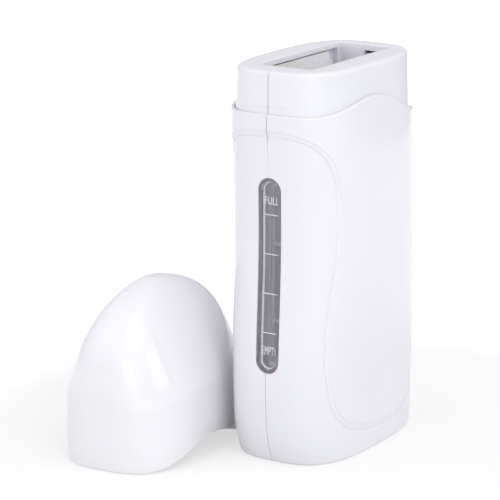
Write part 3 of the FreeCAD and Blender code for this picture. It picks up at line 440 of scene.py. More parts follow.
def outside_rows(add, side):
    """Add the rows from the middle of the base to the edge of the well; returns x and y of the rim."""
    x, y = body_oval(turns, level(0.0), PANEL_DROP + BASE_ROUND)
    for share in BASE_SHARES:
        add((x * share, y * share), 0.0)
    for a in quarter(6):
        z = level(BASE_ROUND * (1 - math.cos(a)))
        add(body_oval(turns, z, PANEL_DROP + BASE_ROUND * (1 - math.sin(a))), z)
    lip_z = shoulder_z(body_oval(turns, level(LIP_MEASURE_Z), 0.0)[0])
    for share in (spaced(SHOULDER_Z, CALM_FROM, CALM_UNTIL, FINE_STEP, FINE_STEP) / SHOULDER_Z)[1:]:
        z = BASE_ROUND + share * (lip_z - LIP_ROUND - BASE_ROUND)
        x, _ = body_oval(turns, z, 0.0)
        add(body_oval(turns, z, panel_depth(x, z)), z)
    for a in quarter(7)[1:]:
        x, y = body_oval(turns, lip_z - LIP_ROUND, LIP_ROUND * (1 - math.cos(a)))
        add((x, y), shoulder_z(x) - LIP_ROUND * (1 - math.sin(a)), (math.cos(a), math.sin(a)))
    foot_z = shoulder_z(neck_oval(turns, level(SHOULDER_Z), 0.0)[0])
    for off, rise in FOOT_CREASE:
        add(neck_oval(turns, foot_z, -off), foot_z + rise, (0.0 if rise == 0.0 and off > 0 else 1.0, 1.0))
    neck_low, neck_high = foot_z + FOOT_CREASE[-1][1], RIM_Z - RIM_ROUND
    for share in np.linspace(0, 1, NECK_ROWS)[1:]:
        z = neck_low + share * (neck_high - neck_low)
        add(neck_oval(turns, z, -snap_bead(turns, z, side)), z)
    for a in quarter(9)[1:]:
        x, y = neck_oval(turns, level(neck_high), RIM_ROUND * (1 - math.cos(a)))
        add((x, y), neck_high + RIM_ROUND * math.sin(a), (math.cos(a), math.sin(a)))
    edge_x, edge_y = well_edge(x, y, WELL_EDGE)
    for share in RIM_SHARES:
        add((x + share * (edge_x - x), y + share * (edge_y - y)), RIM_Z, RIM_SEAM_WAY)
    for a in quarter(5):
        z = RIM_Z - WELL_EDGE * (1 - math.cos(a))
        add(well_edge(x, y, WELL_EDGE * (1 - math.sin(a))), z, RIM_SEAM_WAY)
    return x, y


print("rim rounded by", RIM_ROUND, "mm, lip by", LIP_ROUND, "mm, base by", BASE_ROUND, "mm")


# %% [markdown]
# From the edge of the well the rows go down the inside, one wall's thickness behind the outside, and meet
# again in the middle of the floor. That closes the sheet, apart from the flat parting face.

# %% Inside rows of a shell
WALL, FLOOR_Z, WELL_LIP, INSIDE_TOP, INSIDE_ROWS = 2.2, 2.4, 2.0, 124.0, 26
NECK_INSIDE_Z, FLOOR_SHARES = (RIM_Z - WELL_LIP, 142.0, 134.0, 125.0), (0.8, 0.55, 0.3, 0.0)


def inside_rows(add, rim_x, rim_y):
    """Add the rows from the well's edge down the inside of the wall to the middle of the floor."""
    add(well_edge(rim_x, rim_y, 0.0), RIM_Z - WELL_LIP)
    for z in NECK_INSIDE_Z:
        add(neck_oval(turns, level(z), WALL), z)
    for z in np.linspace(INSIDE_TOP, FLOOR_Z, INSIDE_ROWS):
        x, y = body_oval(turns, level(z), PANEL_DROP + WALL)
        add((x, y), z)
    for share in FLOOR_SHARES:
        add((x * share, y * share), FLOOR_Z)


def shell_rows(side):
    """All rows of a half shell as x, y and z with y positive, and the groove's ways in the outside ones."""
    rows, seam_ways = [], []

    def add(xy, z, seam_way=(1.0, 0.0)):
        rows.append((*xy, np.broadcast_to(z, turns.shape).astype(float)))
        seam_ways.append(seam_way)

    rim_x, rim_y = outside_rows(add, side)
    outside_ways = np.array(seam_ways)
    inside_rows(add, rim_x, rim_y)
    return rows, outside_ways


print("inside", WALL, "mm behind the outside, in", INSIDE_ROWS + len(NECK_INSIDE_Z), "rows")


# %% [markdown]
# The parting edges get a fine groove: the edge column is drawn in, and the column beside it stays. The half
# sheet is then closed with one flat face on the parting plane. The rear shell is the same sheet with y
# turned round.

# %% Build a half shell
SEAM_DEPTH, SEAM_GAP = 0.85, 0.012
FAINT_SEAM, FAINT_FROM, FAINT_UNTIL, LOW_SEAM = 0.75, 108.0, 124.0, 0.5
WINDOW_Y, WINDOW_HALF, WINDOW_LOW, WINDOW_HIGH = -0.6, 4.9, 36.0, 110.4


def make_half(name, side):
    """A closed half shell on the side that y's sign says, with the groove of the seam along its edges."""
    rows, seam_ways = shell_rows(side)
    outer_rows = len(seam_ways)
    points = np.array([[x, side * y, z] for x, y, z in rows]).transpose(0, 2, 1)
    for column, inward in ((0, 1.0), (-1, -1.0)):
        z = points[:outer_rows, column, 2].copy()
        deep = np.clip(z - 0.3, 0, 1) * SEAM_DEPTH
        if column == 0:
            deep *= 1 - FAINT_SEAM * soft_step(z - FAINT_FROM, 2.0) * soft_step(FAINT_UNTIL - z, 1.5)
            deep *= 1 - LOW_SEAM * soft_step(WINDOW_LOW + 2.0 - z, 1.0)
        points[:outer_rows, column, 0] += inward * deep * seam_ways[:, 0]
        points[:outer_rows, column, 2] -= deep * seam_ways[:, 1]
        points[:, column, 1] = side * SEAM_GAP
    count, width = points.shape[:2]
    left = list(range(0, count * width, width))
    right = [i + width - 1 for i in left]
    parting_face = left + right[-2:0:-1]
    return mesh_piece(name, points.reshape(-1, 3), sheet_faces(count, width) + [parting_face])


front, rear = make_half("front_casing", -1.0), make_half("rear_casing", 1.0)
for shell in (front, rear):
    report(shell)


# %% [markdown]
# ## Openings in the shells
# The level window and the mains inlet are cut with solid cutters, skinned over rings of points. The
# window's cutter flares at the surface, so the cut leaves a rounded edge as a mould would.

# %% Slots and rings
SLOT_LOW, SLOT_HIGH = WINDOW_LOW + WINDOW_HALF, WINDOW_HIGH - WINDOW_HALF


def stadium(grow, arc=20, straight=40):
    """Upright slot outline in y and z, grown by grow."""
    r = WINDOW_HALF + grow
    a = np.linspace(0, math.pi, arc + 1)
    side = np.linspace(0, 1, straight + 1)[1:-1]
    y = np.concatenate([r * np.cos(a), np.full(straight - 1, -r), -r * np.cos(a), np.full(straight - 1, r)])
    z = np.concatenate([SLOT_HIGH + r * np.sin(a), SLOT_HIGH + side * (SLOT_LOW - SLOT_HIGH),
                        SLOT_LOW - r * np.sin(a), SLOT_LOW + side * (SLOT_HIGH - SLOT_LOW)])
    return WINDOW_Y + y, z


def rings_piece(name, rings):
    """A closed body skinned over rings of equal length."""
    width, last = len(rings[0]), (len(rings) - 1) * len(rings[0])
    faces = [[row + i, row + (i + 1) % width, row + width + (i + 1) % width, row + width + i]
             for row in range(0, last, width) for i in range(width)]
    faces += [list(range(width)), list(range(last, last + width))[::-1]]
    return mesh_piece(name, np.vstack(rings), faces)


print("slot", WINDOW_HIGH - WINDOW_LOW, "mm tall and", 2 * WINDOW_HALF, "mm wide")


# %% [markdown]
# The window is a slot that follows the curve of the casing. The inlet is a rounded rectangle cut straight
# in. Both openings cross the seam, so both shells are cut. This is done last, after the bosses below are
# joined on.

# %% Cutters of the window and the inlet
WINDOW_EDGE, CUT_OUT, CUT_IN = 0.25, 3.0, 9.0
INLET_Z, INLET_HALF_WIDE, INLET_HALF_TALL, INLET_ROUND, INLET_CUT_X = 20.0, 11.04, 6.29, 5.04, (37.5, 60.0)


def window_cutter():
    profile = [(-CUT_OUT, WINDOW_EDGE + 0.05), (-0.03, WINDOW_EDGE + 0.03)]
    profile += [(WINDOW_EDGE * (1 - math.cos(a)), WINDOW_EDGE * (1 - math.sin(a))) for a in quarter(6)[1:]]
    rings = []
    for depth, grow in profile + [(CUT_IN, 0.0)]:
        y, z = stadium(grow)
        rings.append(np.stack([window_side_x(y, z, PANEL_DROP) + depth, y, z], axis=1))
    return rings_piece("window_cutter", rings)


def rounded_rectangle(half_y, half_z, r, steps=12):
    loop = []
    for quadrant, (sy, sz) in enumerate(((1, 1), (-1, 1), (-1, -1), (1, -1))):
        for turn in quarter(steps) + quadrant * math.pi / 2:
            loop.append((sy * (half_y - r) + r * math.cos(turn), sz * (half_z - r) + r * math.sin(turn)))
    return np.array(loop)


def inlet_cutter():
    outline = rounded_rectangle(INLET_HALF_WIDE, INLET_HALF_TALL, INLET_ROUND)
    return rings_piece("inlet_cutter", [np.column_stack([np.full(len(outline), x), outline[:, 0],
                                                         outline[:, 1] + INLET_Z]) for x in INLET_CUT_X])


print("inlet opening", 2 * INLET_HALF_WIDE, "x", 2 * INLET_HALF_TALL, "mm")


# %% [markdown]
# ## Screw bosses
# Four screws from the rear hold the shells together. Each runs in a round boss that grows from both walls.
# The bosses are made too long, trimmed to the inside of the body, kept clear of the well liner and joined
# to the shell.

# %% Solids for the bosses
LINER_LOW, LINER_HIGH = (-28.84, -13.09, 26.46), (32.24, 15.04, RIM_Z)
CORE_INSET, CORE_LOW, CORE_HIGH = 0.8, 1.2, 127.0
BLOCK_FACES = [(0, 1, 3, 2), (4, 6, 7, 5), (0, 4, 5, 1), (2, 3, 7, 6), (0, 2, 6, 4), (1, 5, 7, 3)]


def rods_along_y(name, places, reach, diameter, steps=40):
    """Round rods along y at several places, as one piece."""
    points, faces = [], []
    a = np.linspace(0, 2 * math.pi, steps, endpoint=False)
    for x, z, *_ in places:
        start = len(points)
        for y in reach:
            points += [(x + diameter / 2 * math.cos(t), y, z + diameter / 2 * math.sin(t)) for t in a]
        faces += [[start + i, start + (i + 1) % steps, start + steps + (i + 1) % steps, start + steps + i]
                  for i in range(steps)]
        faces += [[start + i for i in range(steps)][::-1], [start + steps + i for i in range(steps)]]
    return mesh_piece(name, points, faces)


def liner_room():
    """The room of the well liner behind the shells, which the bosses stay clear of."""
    x_pair, y_pair, z_pair = zip(LINER_LOW, LINER_HIGH)
    return mesh_piece("liner_room", [(x, y, z) for x in x_pair for y in y_pair for z in z_pair], BLOCK_FACES)


def body_core():
    """The body's form drawn in a little, to trim what stands inside the shells."""
    around = np.linspace(0, 2 * math.pi, 120, endpoint=False)
    rings = []
    for z in np.linspace(CORE_LOW, CORE_HIGH, 40):
        x, y = body_oval(around, np.full_like(around, z), PANEL_DROP + CORE_INSET)
        rings.append(np.stack([x, y, np.full_like(x, z)], axis=1))
    return rings_piece("core", rings)


print("liner room from", LINER_LOW, "to", LINER_HIGH)


# %% [markdown]
# The rear bosses are bored wide from outside, down to the seat of the screw's head, and then for its shank.
# The front bosses get the narrow hole in which the thread bites. The upper screw by the window sits less
# deep.

# %% Screw bosses and wells
SCREW_PLACES = [(-31.0, 119.0, 16.0), (36.8, 112.0, 7.0), (-24.0, 7.5, 7.0), (34.0, 7.5, 7.0)]
BOSS_REAR, BOSS_FRONT, SCREW_WELL, SHANK_HOLE, SCREW_HOLE = 8.0, 6.5, 6.0, 3.1, 2.94
PAST_WALL = 40.0

for shell, reach, diameter in ((front, (-PAST_WALL, -1.0), BOSS_FRONT), (rear, (1.0, PAST_WALL), BOSS_REAR)):
    bosses = rods_along_y("bosses", SCREW_PLACES, reach, diameter)
    carve(bosses, body_core(), "INTERSECT")
    carve(bosses, liner_room(), "DIFFERENCE")
    carve(shell, bosses, "UNION")
for x, z, seat in SCREW_PLACES:
    carve(rear, rods_along_y("screw_well", [(x, z)], (seat, PAST_WALL), SCREW_WELL), "DIFFERENCE")
carve(rear, rods_along_y("shank_hole", SCREW_PLACES, (-3.0, 17.0), SHANK_HOLE), "DIFFERENCE")
carve(front, rods_along_y("screw_hole", SCREW_PLACES, (-10.0, 3.0), SCREW_HOLE), "DIFFERENCE")
print("bosses at", [place[:2] for place in SCREW_PLACES])


# %% [markdown]
# With the bosses on, the window and the inlet go through both shells. Cutting makes new edges, so the
# shells are shaded again.

# %% Cut the window and the inlet
for shell in (front, rear):
    carve(shell, window_cutter(), "DIFFERENCE")
    carve(shell, inlet_cutter(), "DIFFERENCE")
    shade(shell.data)
    report(shell)


# %% [markdown]
# ## Numbers that flow through nodes
# Geometry Nodes work out positions with chains of Math nodes. A small class lets a socket be written like a
# number, so that the cap's rule below reads as the formula it is, while Blender still gets a plain node
# tree.

# %% Sockets as numbers
def math_method(operation, flip=False):
    """A method that adds one Math node; flip puts the socket behind the other term."""
    return lambda self, *others: self.math(operation, *others, flip=flip)


class Flow:
    """A socket that can be added, multiplied and raised to a power."""
    __add__ = __radd__ = math_method("ADD")
    __mul__ = __rmul__ = math_method("MULTIPLY")
    __sub__, __rsub__ = math_method("SUBTRACT"), math_method("SUBTRACT", flip=True)
    __truediv__, __rtruediv__ = math_method("DIVIDE"), math_method("DIVIDE", flip=True)
    __pow__ = math_method("POWER")
    size, root = math_method("ABSOLUTE"), math_method("SQRT")
    at_least, at_most, above = math_method("MAXIMUM"), math_method("MINIMUM"), math_method("GREATER_THAN")
    sine, cosine = math_method("SINE"), math_method("COSINE")

    def __init__(self, tree, socket):
        self.tree, self.socket = tree, socket

    def math(self, operation, *others, flip=False):
        node = self.tree.nodes.new("ShaderNodeMath")
        node.operation = operation
        terms = list(others) + [self] if flip else [self] + list(others)
        for slot, term in zip(node.inputs, terms):
            if isinstance(term, Flow):
                self.tree.links.new(term.socket, slot)
            else:
                slot.default_value = term
        return Flow(self.tree, node.outputs[0])


print("a Flow can", [name for name in vars(Flow) if name[0] != "_"])


# %% [markdown]
# A tree gets its sizes as named inputs. It runs on a few seed points, and the result is read back as a
# plain mesh.

# %% Trees that make pieces
def new_tree(name, inputs):
    """A Geometry Nodes tree with named inputs; returns it with its input node and its output node."""
    tree = bpy.data.node_groups.new(name, "GeometryNodeTree")
    tree.interface.new_socket("Geometry", in_out="INPUT", socket_type="NodeSocketGeometry")
    for title, value in inputs.items():
        kind = "NodeSocketFloat" if isinstance(value, float) else "NodeSocketMaterial"
        socket = tree.interface.new_socket(title, in_out="INPUT", socket_type=kind)
        if isinstance(value, float):
            socket.default_value = value
    tree.interface.new_socket("Geometry", in_out="OUTPUT", socket_type="NodeSocketGeometry")
    return tree, tree.nodes.new("NodeGroupInput"), tree.nodes.new("NodeGroupOutput")


def chain(tree, *kinds, start, end):
    """Pass the geometry from start through new nodes of these kinds to end; returns the new nodes."""
    made = [tree.nodes.new("GeometryNode" + kind) for kind in kinds]
    for before, after in zip([start] + made, made + [end]):
        tree.links.new(before.outputs[0], after.inputs[0])
    return made


def join_xyz(tree, socket, **parts):
    """Feed a vector socket from Flow numbers for X, Y and Z."""
    join = tree.nodes.new("ShaderNodeCombineXYZ")
    for axis, part in parts.items():
        tree.links.new(part.socket, join.inputs[axis])
    tree.links.new(join.outputs[0], socket)


def grow_piece(name, tree, values, points=((0.0, 0.0, 0.0),)):
    """Run a tree on a few points and return its result as a plain mesh object."""
    seed = bpy.data.meshes.new(name + "_seed")
    seed.from_pydata([tuple(p) for p in points], [], [])
    piece = link_object(name, seed)
    step = piece.modifiers.new("nodes", "NODES")
    step.node_group = tree
    for item in tree.interface.items_tree:
        if item.item_type == "SOCKET" and item.in_out == "INPUT" and item.name in values:
            step[item.identifier] = values[item.name]
    result = evaluated_mesh(piece)
    piece.modifiers.remove(step)
    piece.data = result
    bpy.data.meshes.remove(seed)
    result.name = name
    return piece


# %% [markdown]
# ## Finishes
# Glossy moulded plastic is nearly one colour, but never perfectly flat. A very fine, shallow ripple breaks
# the reflections a little, and a wide soft cloud shifts the tone and the gloss by a few percent. Bead-
# blasted metal has a grain of bright and dark specks instead. Every finish is a small tree of noise on
# object coordinates.

# %% Nodes of a finish
def new_finish(name):
    finish = bpy.data.materials.new(name)
    finish.use_nodes = True
    return finish, finish.node_tree, finish.node_tree.nodes["Principled BSDF"]


def new_node(tree, kind, **values):
    """A shader node with some of its inputs set; an underscore stands for a space in an input's name."""
    node = tree.nodes.new("ShaderNode" + kind)
    for title, value in values.items():
        node.inputs[title.replace("_", " ")].default_value = value
    return node


def noise(tree, scale, detail=2.0, rough=0.5, stretch=(1.0, 1.0, 1.0)):
    """Noise on the object's own coordinates."""
    coords, place = new_node(tree, "TexCoord"), new_node(tree, "Mapping", Scale=stretch)
    node = new_node(tree, "TexNoise", Scale=scale, Detail=detail, Roughness=rough)
    tree.links.new(coords.outputs["Object"], place.inputs["Vector"])
    tree.links.new(place.outputs["Vector"], node.inputs["Vector"])
    return node.outputs["Fac"]


def ramp(tree, source, stops):
    node = tree.nodes.new("ShaderNodeValToRGB")
    elements = node.color_ramp.elements
    while len(elements) < len(stops):
        elements.new(0.5)
    for element, (place, colour) in zip(elements, stops):
        element.position = place
        element.color = (*colour, 1.0)
    tree.links.new(source, node.inputs["Fac"])
    return node.outputs["Color"]


def spread(tree, source, low, high, start=0.3, end=0.7):
    """Map a socket from start and end to low and high, and hold it between them."""
    node = new_node(tree, "MapRange", From_Min=start, From_Max=end, To_Min=low, To_Max=high)
    tree.links.new(source, node.inputs["Value"])
    return node.outputs["Result"]


def bump(tree, shader, source, strength, distance):
    node = new_node(tree, "Bump", Strength=strength, Distance=distance)
    tree.links.new(source, node.inputs["Height"])
    tree.links.new(node.outputs["Normal"], shader.inputs["Normal"])


def clad(piece, finish):
    """Give every face of a piece one finish."""
    if piece.data.materials:
        for i in range(len(piece.data.materials)):
            piece.data.materials[i] = finish
    else:
        piece.data.materials.append(finish)
    return piece


# %% [markdown]
# Two recipes serve most pieces. Moulded plastic is a smooth cloud of tone and gloss over a fine ripple.
# Metal is specks that colour it, roughen it and raise it, and they can be stretched along a drawn strip.

# %% Plastic and metal
PLASTIC_IOR, RIPPLE_TALL, SPECK_TALL = 1.49, 0.00004, 0.0001


def tint(colour, share):
    return tuple(min(1.0, c * share) for c in colour)


def moulded(name, colour, rough, ripple=0.05, grain=900.0, gloss_range=0.05):
    """Moulded plastic: soft cloud in tone and gloss, and a fine shallow ripple."""
    finish, tree, shader = new_finish(name)
    cloud = noise(tree, 22.0, 3.0)
    tree.links.new(ramp(tree, cloud, [(0.3, tint(colour, 0.985)), (0.7, tint(colour, 1.01))]),
                   shader.inputs["Base Color"])
    tree.links.new(spread(tree, noise(tree, 60.0), rough - gloss_range / 2, rough + gloss_range / 2),
                   shader.inputs["Roughness"])
    shader.inputs["IOR"].default_value = PLASTIC_IOR
    bump(tree, shader, noise(tree, grain), ripple, RIPPLE_TALL)
    return finish


def metal(name, colour, rough, grain, grain_strength, stretch=(1.0, 1.0, 1.0)):
    """Bare metal with a grain of specks."""
    finish, tree, shader = new_finish(name)
    specks = noise(tree, grain, 4.0, 0.7, stretch)
    tree.links.new(ramp(tree, specks, [(0.3, tint(colour, 0.82)), (0.7, tint(colour, 1.1))]),
                   shader.inputs["Base Color"])
    tree.links.new(spread(tree, specks, rough - 0.08, rough + 0.1), shader.inputs["Roughness"])
    shader.inputs["Metallic"].default_value = 1.0
    bump(tree, shader, specks, grain_strength, SPECK_TALL)
    return finish


print("a white tinted for its clouds", tint((0.84, 0.835, 0.87), 0.985), tint((0.84, 0.835, 0.87), 1.01))


# %% [markdown]
# The casing and the cap are nearly white with a cool tint, and very glossy. The liner is duller. Inside are
# brown, blue and red leads, a ceramic heater between brass strips, amber film, a spring clamp and steel
# screws.

# %% Finishes of the heater
white_casing = moulded("white_casing", (0.84, 0.835, 0.87), 0.09, ripple=0.03, gloss_range=0.04)
white_cap = moulded("white_cap", (0.88, 0.875, 0.90), 0.05, ripple=0.015, gloss_range=0.03)
liner_plastic = moulded("liner_plastic", (0.80, 0.79, 0.85), 0.42, ripple=0.12)
holder_plastic = moulded("holder_plastic", (0.75, 0.75, 0.78), 0.45)
inlet_plastic = moulded("inlet_plastic", (0.035, 0.035, 0.038), 0.38, ripple=0.2, grain=2500.0)
lamp_plastic = moulded("lamp_plastic", (0.48, 0.005, 0.04), 0.3)
level_mark = moulded("level_mark", (0.92, 0.91, 0.94), 0.4)
ptc_ceramic = moulded("ptc_ceramic", (0.22, 0.21, 0.20), 0.7, ripple=0.5)
amber_film = moulded("amber_film", (0.60, 0.30, 0.05), 0.25)
sleeve_finish = moulded("sleeve_finish", (0.80, 0.80, 0.76), 0.7, ripple=0.4)
brown_wire = moulded("brown_wire", (0.16, 0.07, 0.03), 0.45)
blue_wire = moulded("blue_wire", (0.03, 0.10, 0.38), 0.45)
red_wire = moulded("red_wire", (0.50, 0.04, 0.03), 0.45)
resistor_finish = moulded("resistor_finish", (0.62, 0.50, 0.30), 0.3)
drawn = (1.0, 1.0, 0.1)
brass_strip = metal("brass_strip", (0.72, 0.56, 0.28), 0.32, 700.0, 0.05, drawn)
tinned_brass = metal("tinned_brass", (0.74, 0.73, 0.70), 0.25, 900.0, 0.05)
spring_steel = metal("spring_steel", (0.50, 0.51, 0.52), 0.3, 800.0, 0.05, drawn)
screw_steel = metal("screw_steel", (0.62, 0.62, 0.62), 0.3, 1200.0, 0.08)
fuse_metal = metal("fuse_metal", (0.70, 0.70, 0.70), 0.3, 900.0, 0.05)
for shell in (front, rear):
    clad(shell, white_casing)
print("materials in the file", len(bpy.data.materials))


# %% [markdown]
# The heating plate is bead-blasted aluminium, so it sparkles coarsely, and it is a little warmer and more
# stained towards the window. The pane is clear with a faint violet-grey haze, and its steep wall is matt.

# %% Finishes of the plate and the pane
PANE_IOR, SPECK_STOPS = 1.46, (0.34, 0.52, 0.66)
CLEAN = (0.56, 0.56, 0.58), (0.80, 0.80, 0.82), (0.95, 0.95, 0.97)
STAINED = (0.45, 0.42, 0.33), (0.74, 0.71, 0.60), (0.90, 0.88, 0.80)


def blasted_plate():
    """A coarse sparkle between a clean and a stained colour."""
    finish, tree, shader = new_finish("blasted_plate")
    specks = noise(tree, 2600.0, 3.0, 0.8)
    blots = noise(tree, 420.0, 4.0, 0.7)
    clean, stained = (ramp(tree, specks, list(zip(SPECK_STOPS, tones))) for tones in (CLEAN, STAINED))
    coords, split = new_node(tree, "TexCoord"), new_node(tree, "SeparateXYZ")
    tree.links.new(coords.outputs["Object"], split.inputs["Vector"])
    window_side = Flow(tree, spread(tree, split.outputs["X"], 1.0, 0.0, -0.012, 0.008))
    in_blots = Flow(tree, spread(tree, blots, 0.2, 1.0, 0.35, 0.6))
    mix = new_node(tree, "Mix")
    mix.data_type = "RGBA"
    tree.links.new((window_side * in_blots).socket, mix.inputs["Factor"])
    tree.links.new(clean, mix.inputs["A"])
    tree.links.new(stained, mix.inputs["B"])
    tree.links.new(mix.outputs["Result"], shader.inputs["Base Color"])
    shader.inputs["Metallic"].default_value = 0.55
    shader.inputs["Roughness"].default_value = 0.55
    bump(tree, shader, specks, 0.5, 0.00012)
    return finish


def see_through(name, scale, dark, light, rough, clear, grain=0.0):
    """Plastic that lets light through, with a matt grain where it has one."""
    finish, tree, shader = new_finish(name)
    cloud = noise(tree, scale)
    tree.links.new(ramp(tree, cloud, [(0.3, dark), (0.7, light)]), shader.inputs["Base Color"])
    tree.links.new(spread(tree, cloud, *rough), shader.inputs["Roughness"])
    shader.inputs["Transmission Weight"].default_value = clear
    shader.inputs["IOR"].default_value = PANE_IOR
    if grain:
        bump(tree, shader, cloud, grain, RIPPLE_TALL)
    return finish


plate_finish = blasted_plate()
pane_finish = see_through("clear_pane", 90.0, (0.78, 0.76, 0.83), (0.82, 0.80, 0.87), (0.03, 0.07), 0.88)
matt_wall = see_through("matt_wall", 1500.0, (0.86, 0.86, 0.90), (0.93, 0.93, 0.96), (0.25, 0.4), 0.25,
                        grain=0.2)
print("finishes", [finish.name for finish in (plate_finish, pane_finish, matt_wall)])


# %% [markdown]
# ## The cap
# The cap is a tall dome on an oval skirt. Its length and thickness shrink by two different powers of the
# height, so that it looks round from its wide side and pointed from its narrow side. Its rim follows the
# shoulder's wave, a little wider, and its foot is tucked in slightly. The whole shell, outside and inside,
# is one grid bent by one rule: each grid point knows how far round and how far up it lies, and the nodes
# move it there.

# %% Rule of the cap
CAP = {"Height": 67.5, "Half length": 40.8, "Half thickness": 25.6, "Wall": 1.3, "Top wall": 1.8,
       "Rim gap": 0.3, "Rim round": 0.35, "Long taper": 0.8, "Thick taper": 2.8,
       "Hump place": -1.0, "Hump reach": 38.0, "Foot tuck": 0.8, "Tuck height": 16.0, "Finish": white_cap}
CAP_COLUMNS, CAP_ROWS, CAP_WELD, CLIMB_POWER, POWER_LOSS = 300, 240, 0.00003, 1.25, 0.5
LONG_DOME, THICK_DOME = (15.0, 4.475, 1.425), (28.0, 1.2, 2.07)


def cap_tree():
    """The cap's rule as nodes that bend one grid."""
    tree, source, sink = new_tree("cap_rule", CAP)
    given = {title: Flow(tree, source.outputs[title]) for title in CAP if title != "Finish"}
    grid = tree.nodes.new("GeometryNodeMeshGrid")
    for axis, count in (("X", CAP_COLUMNS), ("Y", CAP_ROWS)):
        grid.inputs["Size " + axis].default_value = 1.0
        grid.inputs["Vertices " + axis].default_value = count
    place, split = tree.nodes.new("GeometryNodeInputPosition"), new_node(tree, "SeparateXYZ")
    tree.links.new(place.outputs[0], split.inputs[0])
    turn = (Flow(tree, split.outputs["X"]) + 0.5) * (2 * math.pi)
    way = Flow(tree, split.outputs["Y"]) * 2.0
    inside = way.above(0.0)
    first = 1.0 / (CAP_ROWS - 1)
    climb = ((way.size() - first) / (1.0 - first)).at_least(0.0)
    c, s = turn.cosine(), turn.sine()
    # the waved rim, from the oval at the foot of the cap
    foot_radius = ((c / given["Half length"]).size() ** OVAL_POWER
                   + (s / given["Half thickness"]).size() ** OVAL_POWER) ** (-1 / OVAL_POWER)
    foot_x = foot_radius * c
    off = ((foot_x - given["Hump place"]).size() / given["Hump reach"]).at_most(1.0)
    wave = (off * (math.pi / 2)).cosine() ** 2.0 * HUMP_RISE
    rim = wave - foot_x * SHOULDER_SLOPE + given["Rim gap"]

    # height and wall at this point; the rim's two edges are rounded
    height = given["Height"] - inside * given["Top wall"]
    up = rim + (height - rim) * ((climb ** CLIMB_POWER) * (math.pi / 2)).sine()
    from_rim = ((up - rim) / given["Rim round"]).at_least(0.0).at_most(1.0)
    rounding = given["Rim round"] * (1.0 - (1.0 - (1.0 - from_rim) ** 2.0).at_least(0.0).root())
    inset = inside * given["Wall"] + rounding * (1.0 - inside * 2.0)
    share = (up / height).at_least(0.0).at_most(1.0)
    tuck = given["Foot tuck"] * (1.0 - up / given["Tuck height"]).at_least(0.0).at_most(1.4) ** 2.0

    def reach(half, taper, skirt, belly, round_off):
        """Half length or half thickness at this height: plain up to the skirt, then closing."""
        rise = ((up - skirt) / (height - skirt)).at_least(0.0).at_most(1.0)
        closing = (1.0 - rise ** belly).at_least(0.0) ** (1 / round_off)
        return ((half - inset - tuck - taper * share) * closing).at_least(0.01)

    long_reach = reach(given["Half length"], given["Long taper"], *LONG_DOME)
    thick_reach = reach(given["Half thickness"], given["Thick taper"], *THICK_DOME)
    power = OVAL_POWER - POWER_LOSS * share
    radius = ((c / long_reach).size() ** power + (s / thick_reach).size() ** power) ** (-1.0 / power)

    move, weld, _, paint = chain(tree, "SetPosition", "MergeByDistance", "RealizeInstances", "SetMaterial",
                                 start=grid, end=sink)
    join_xyz(tree, move.inputs["Position"], X=radius * c * MM, Y=radius * s * MM, Z=up * MM)
    weld.inputs["Distance"].default_value = CAP_WELD
    tree.links.new(source.outputs["Finish"], paint.inputs["Material"])
    return tree


cap = grow_piece("cap_dome", cap_tree(), CAP)
tidy(cap.data)
report(cap)


# %% [markdown]
# The cap's rim slopes as the shoulder does, so the real cap leans when it stands on that rim. It is leaned,
# turned and set behind the body, and then lowered until it touches the floor.

# %% Stand the cap beside the body
CAP_AT, CAP_TURN = Vector((-38.6 * MM, 50.4 * MM, 0)), math.radians(3.4)

lean = Matrix.Rotation(-math.atan(SHOULDER_SLOPE), 4, "Y")
cap.data.transform(Matrix.Translation(CAP_AT) @ Matrix.Rotation(CAP_TURN, 4, "Z") @ lean)
lowest = min(v.co.z for v in cap.data.vertices)
cap.data.transform(Matrix.Translation((0, 0, -lowest)))
shade(cap.data)
clad(cap, white_cap)
print("cap stands", round(max(v.co.z for v in cap.data.vertices) / MM, 1), "mm tall")


# %% [markdown]
# ## The level window
# The window is a clear pane. Its rim lies level with the casing, and a wall leads down to a sunk face.
# Moulders leave that wall slightly matt, so it catches the light as a white line round the face. The pane
# is skinned over slot-shaped rings, from its flange behind the shells to the middle of its face, and every
# ring follows the curve of the body.

# %% Clear pane
RIM_SINK, RIM_WIDE, RIM_CREST = 0.30, 1.30, 0.12
FACE_SINK, FACE_FOOT, WALL_RUN, PANE_GAP = 1.90, 0.30, 0.22, 0.08
MATT_TALL, FLANGE_GROW, FLANGE_THICK, FLANGE_AT = 0.85, 1.8, 1.0, PANEL_DROP + WALL + 0.02


def make_pane():
    """The pane, skinned over rings of (depth below the surface, growth past the slot)."""
    middle, front_at, face_at = -WINDOW_HALF + 0.01, PANEL_DROP + RIM_SINK, PANEL_DROP + FACE_SINK
    profile = [(FLANGE_AT + FLANGE_THICK, middle), (FLANGE_AT + FLANGE_THICK, FLANGE_GROW),
               (FLANGE_AT, FLANGE_GROW), (FLANGE_AT, -PANE_GAP),
               (front_at + 0.12, -PANE_GAP), (front_at + 0.03, -0.12), (front_at, -0.22)]
    profile += [(front_at + RIM_CREST * (1 - math.cos(a)), -RIM_WIDE - RIM_CREST * math.sin(a))
                for a in quarter(4)]
    foot = -RIM_WIDE - RIM_CREST - WALL_RUN
    profile += [(face_at - MATT_TALL, foot + 0.08)]
    profile += [(face_at - FACE_FOOT * (1 - math.sin(a)), foot - FACE_FOOT * (1 - math.cos(a)))
                for a in quarter(5)]
    profile += [(face_at, foot - FACE_FOOT - 0.7), (face_at, middle)]
    rings = []
    for inset, grow in profile:
        y, z = stadium(grow, 24, 48)
        rings.append(np.stack([window_side_x(y, z, inset), y, z], axis=1))
    return clad(rings_piece("clear_pane", rings), pane_finish)


pane = make_pane()
report(pane)


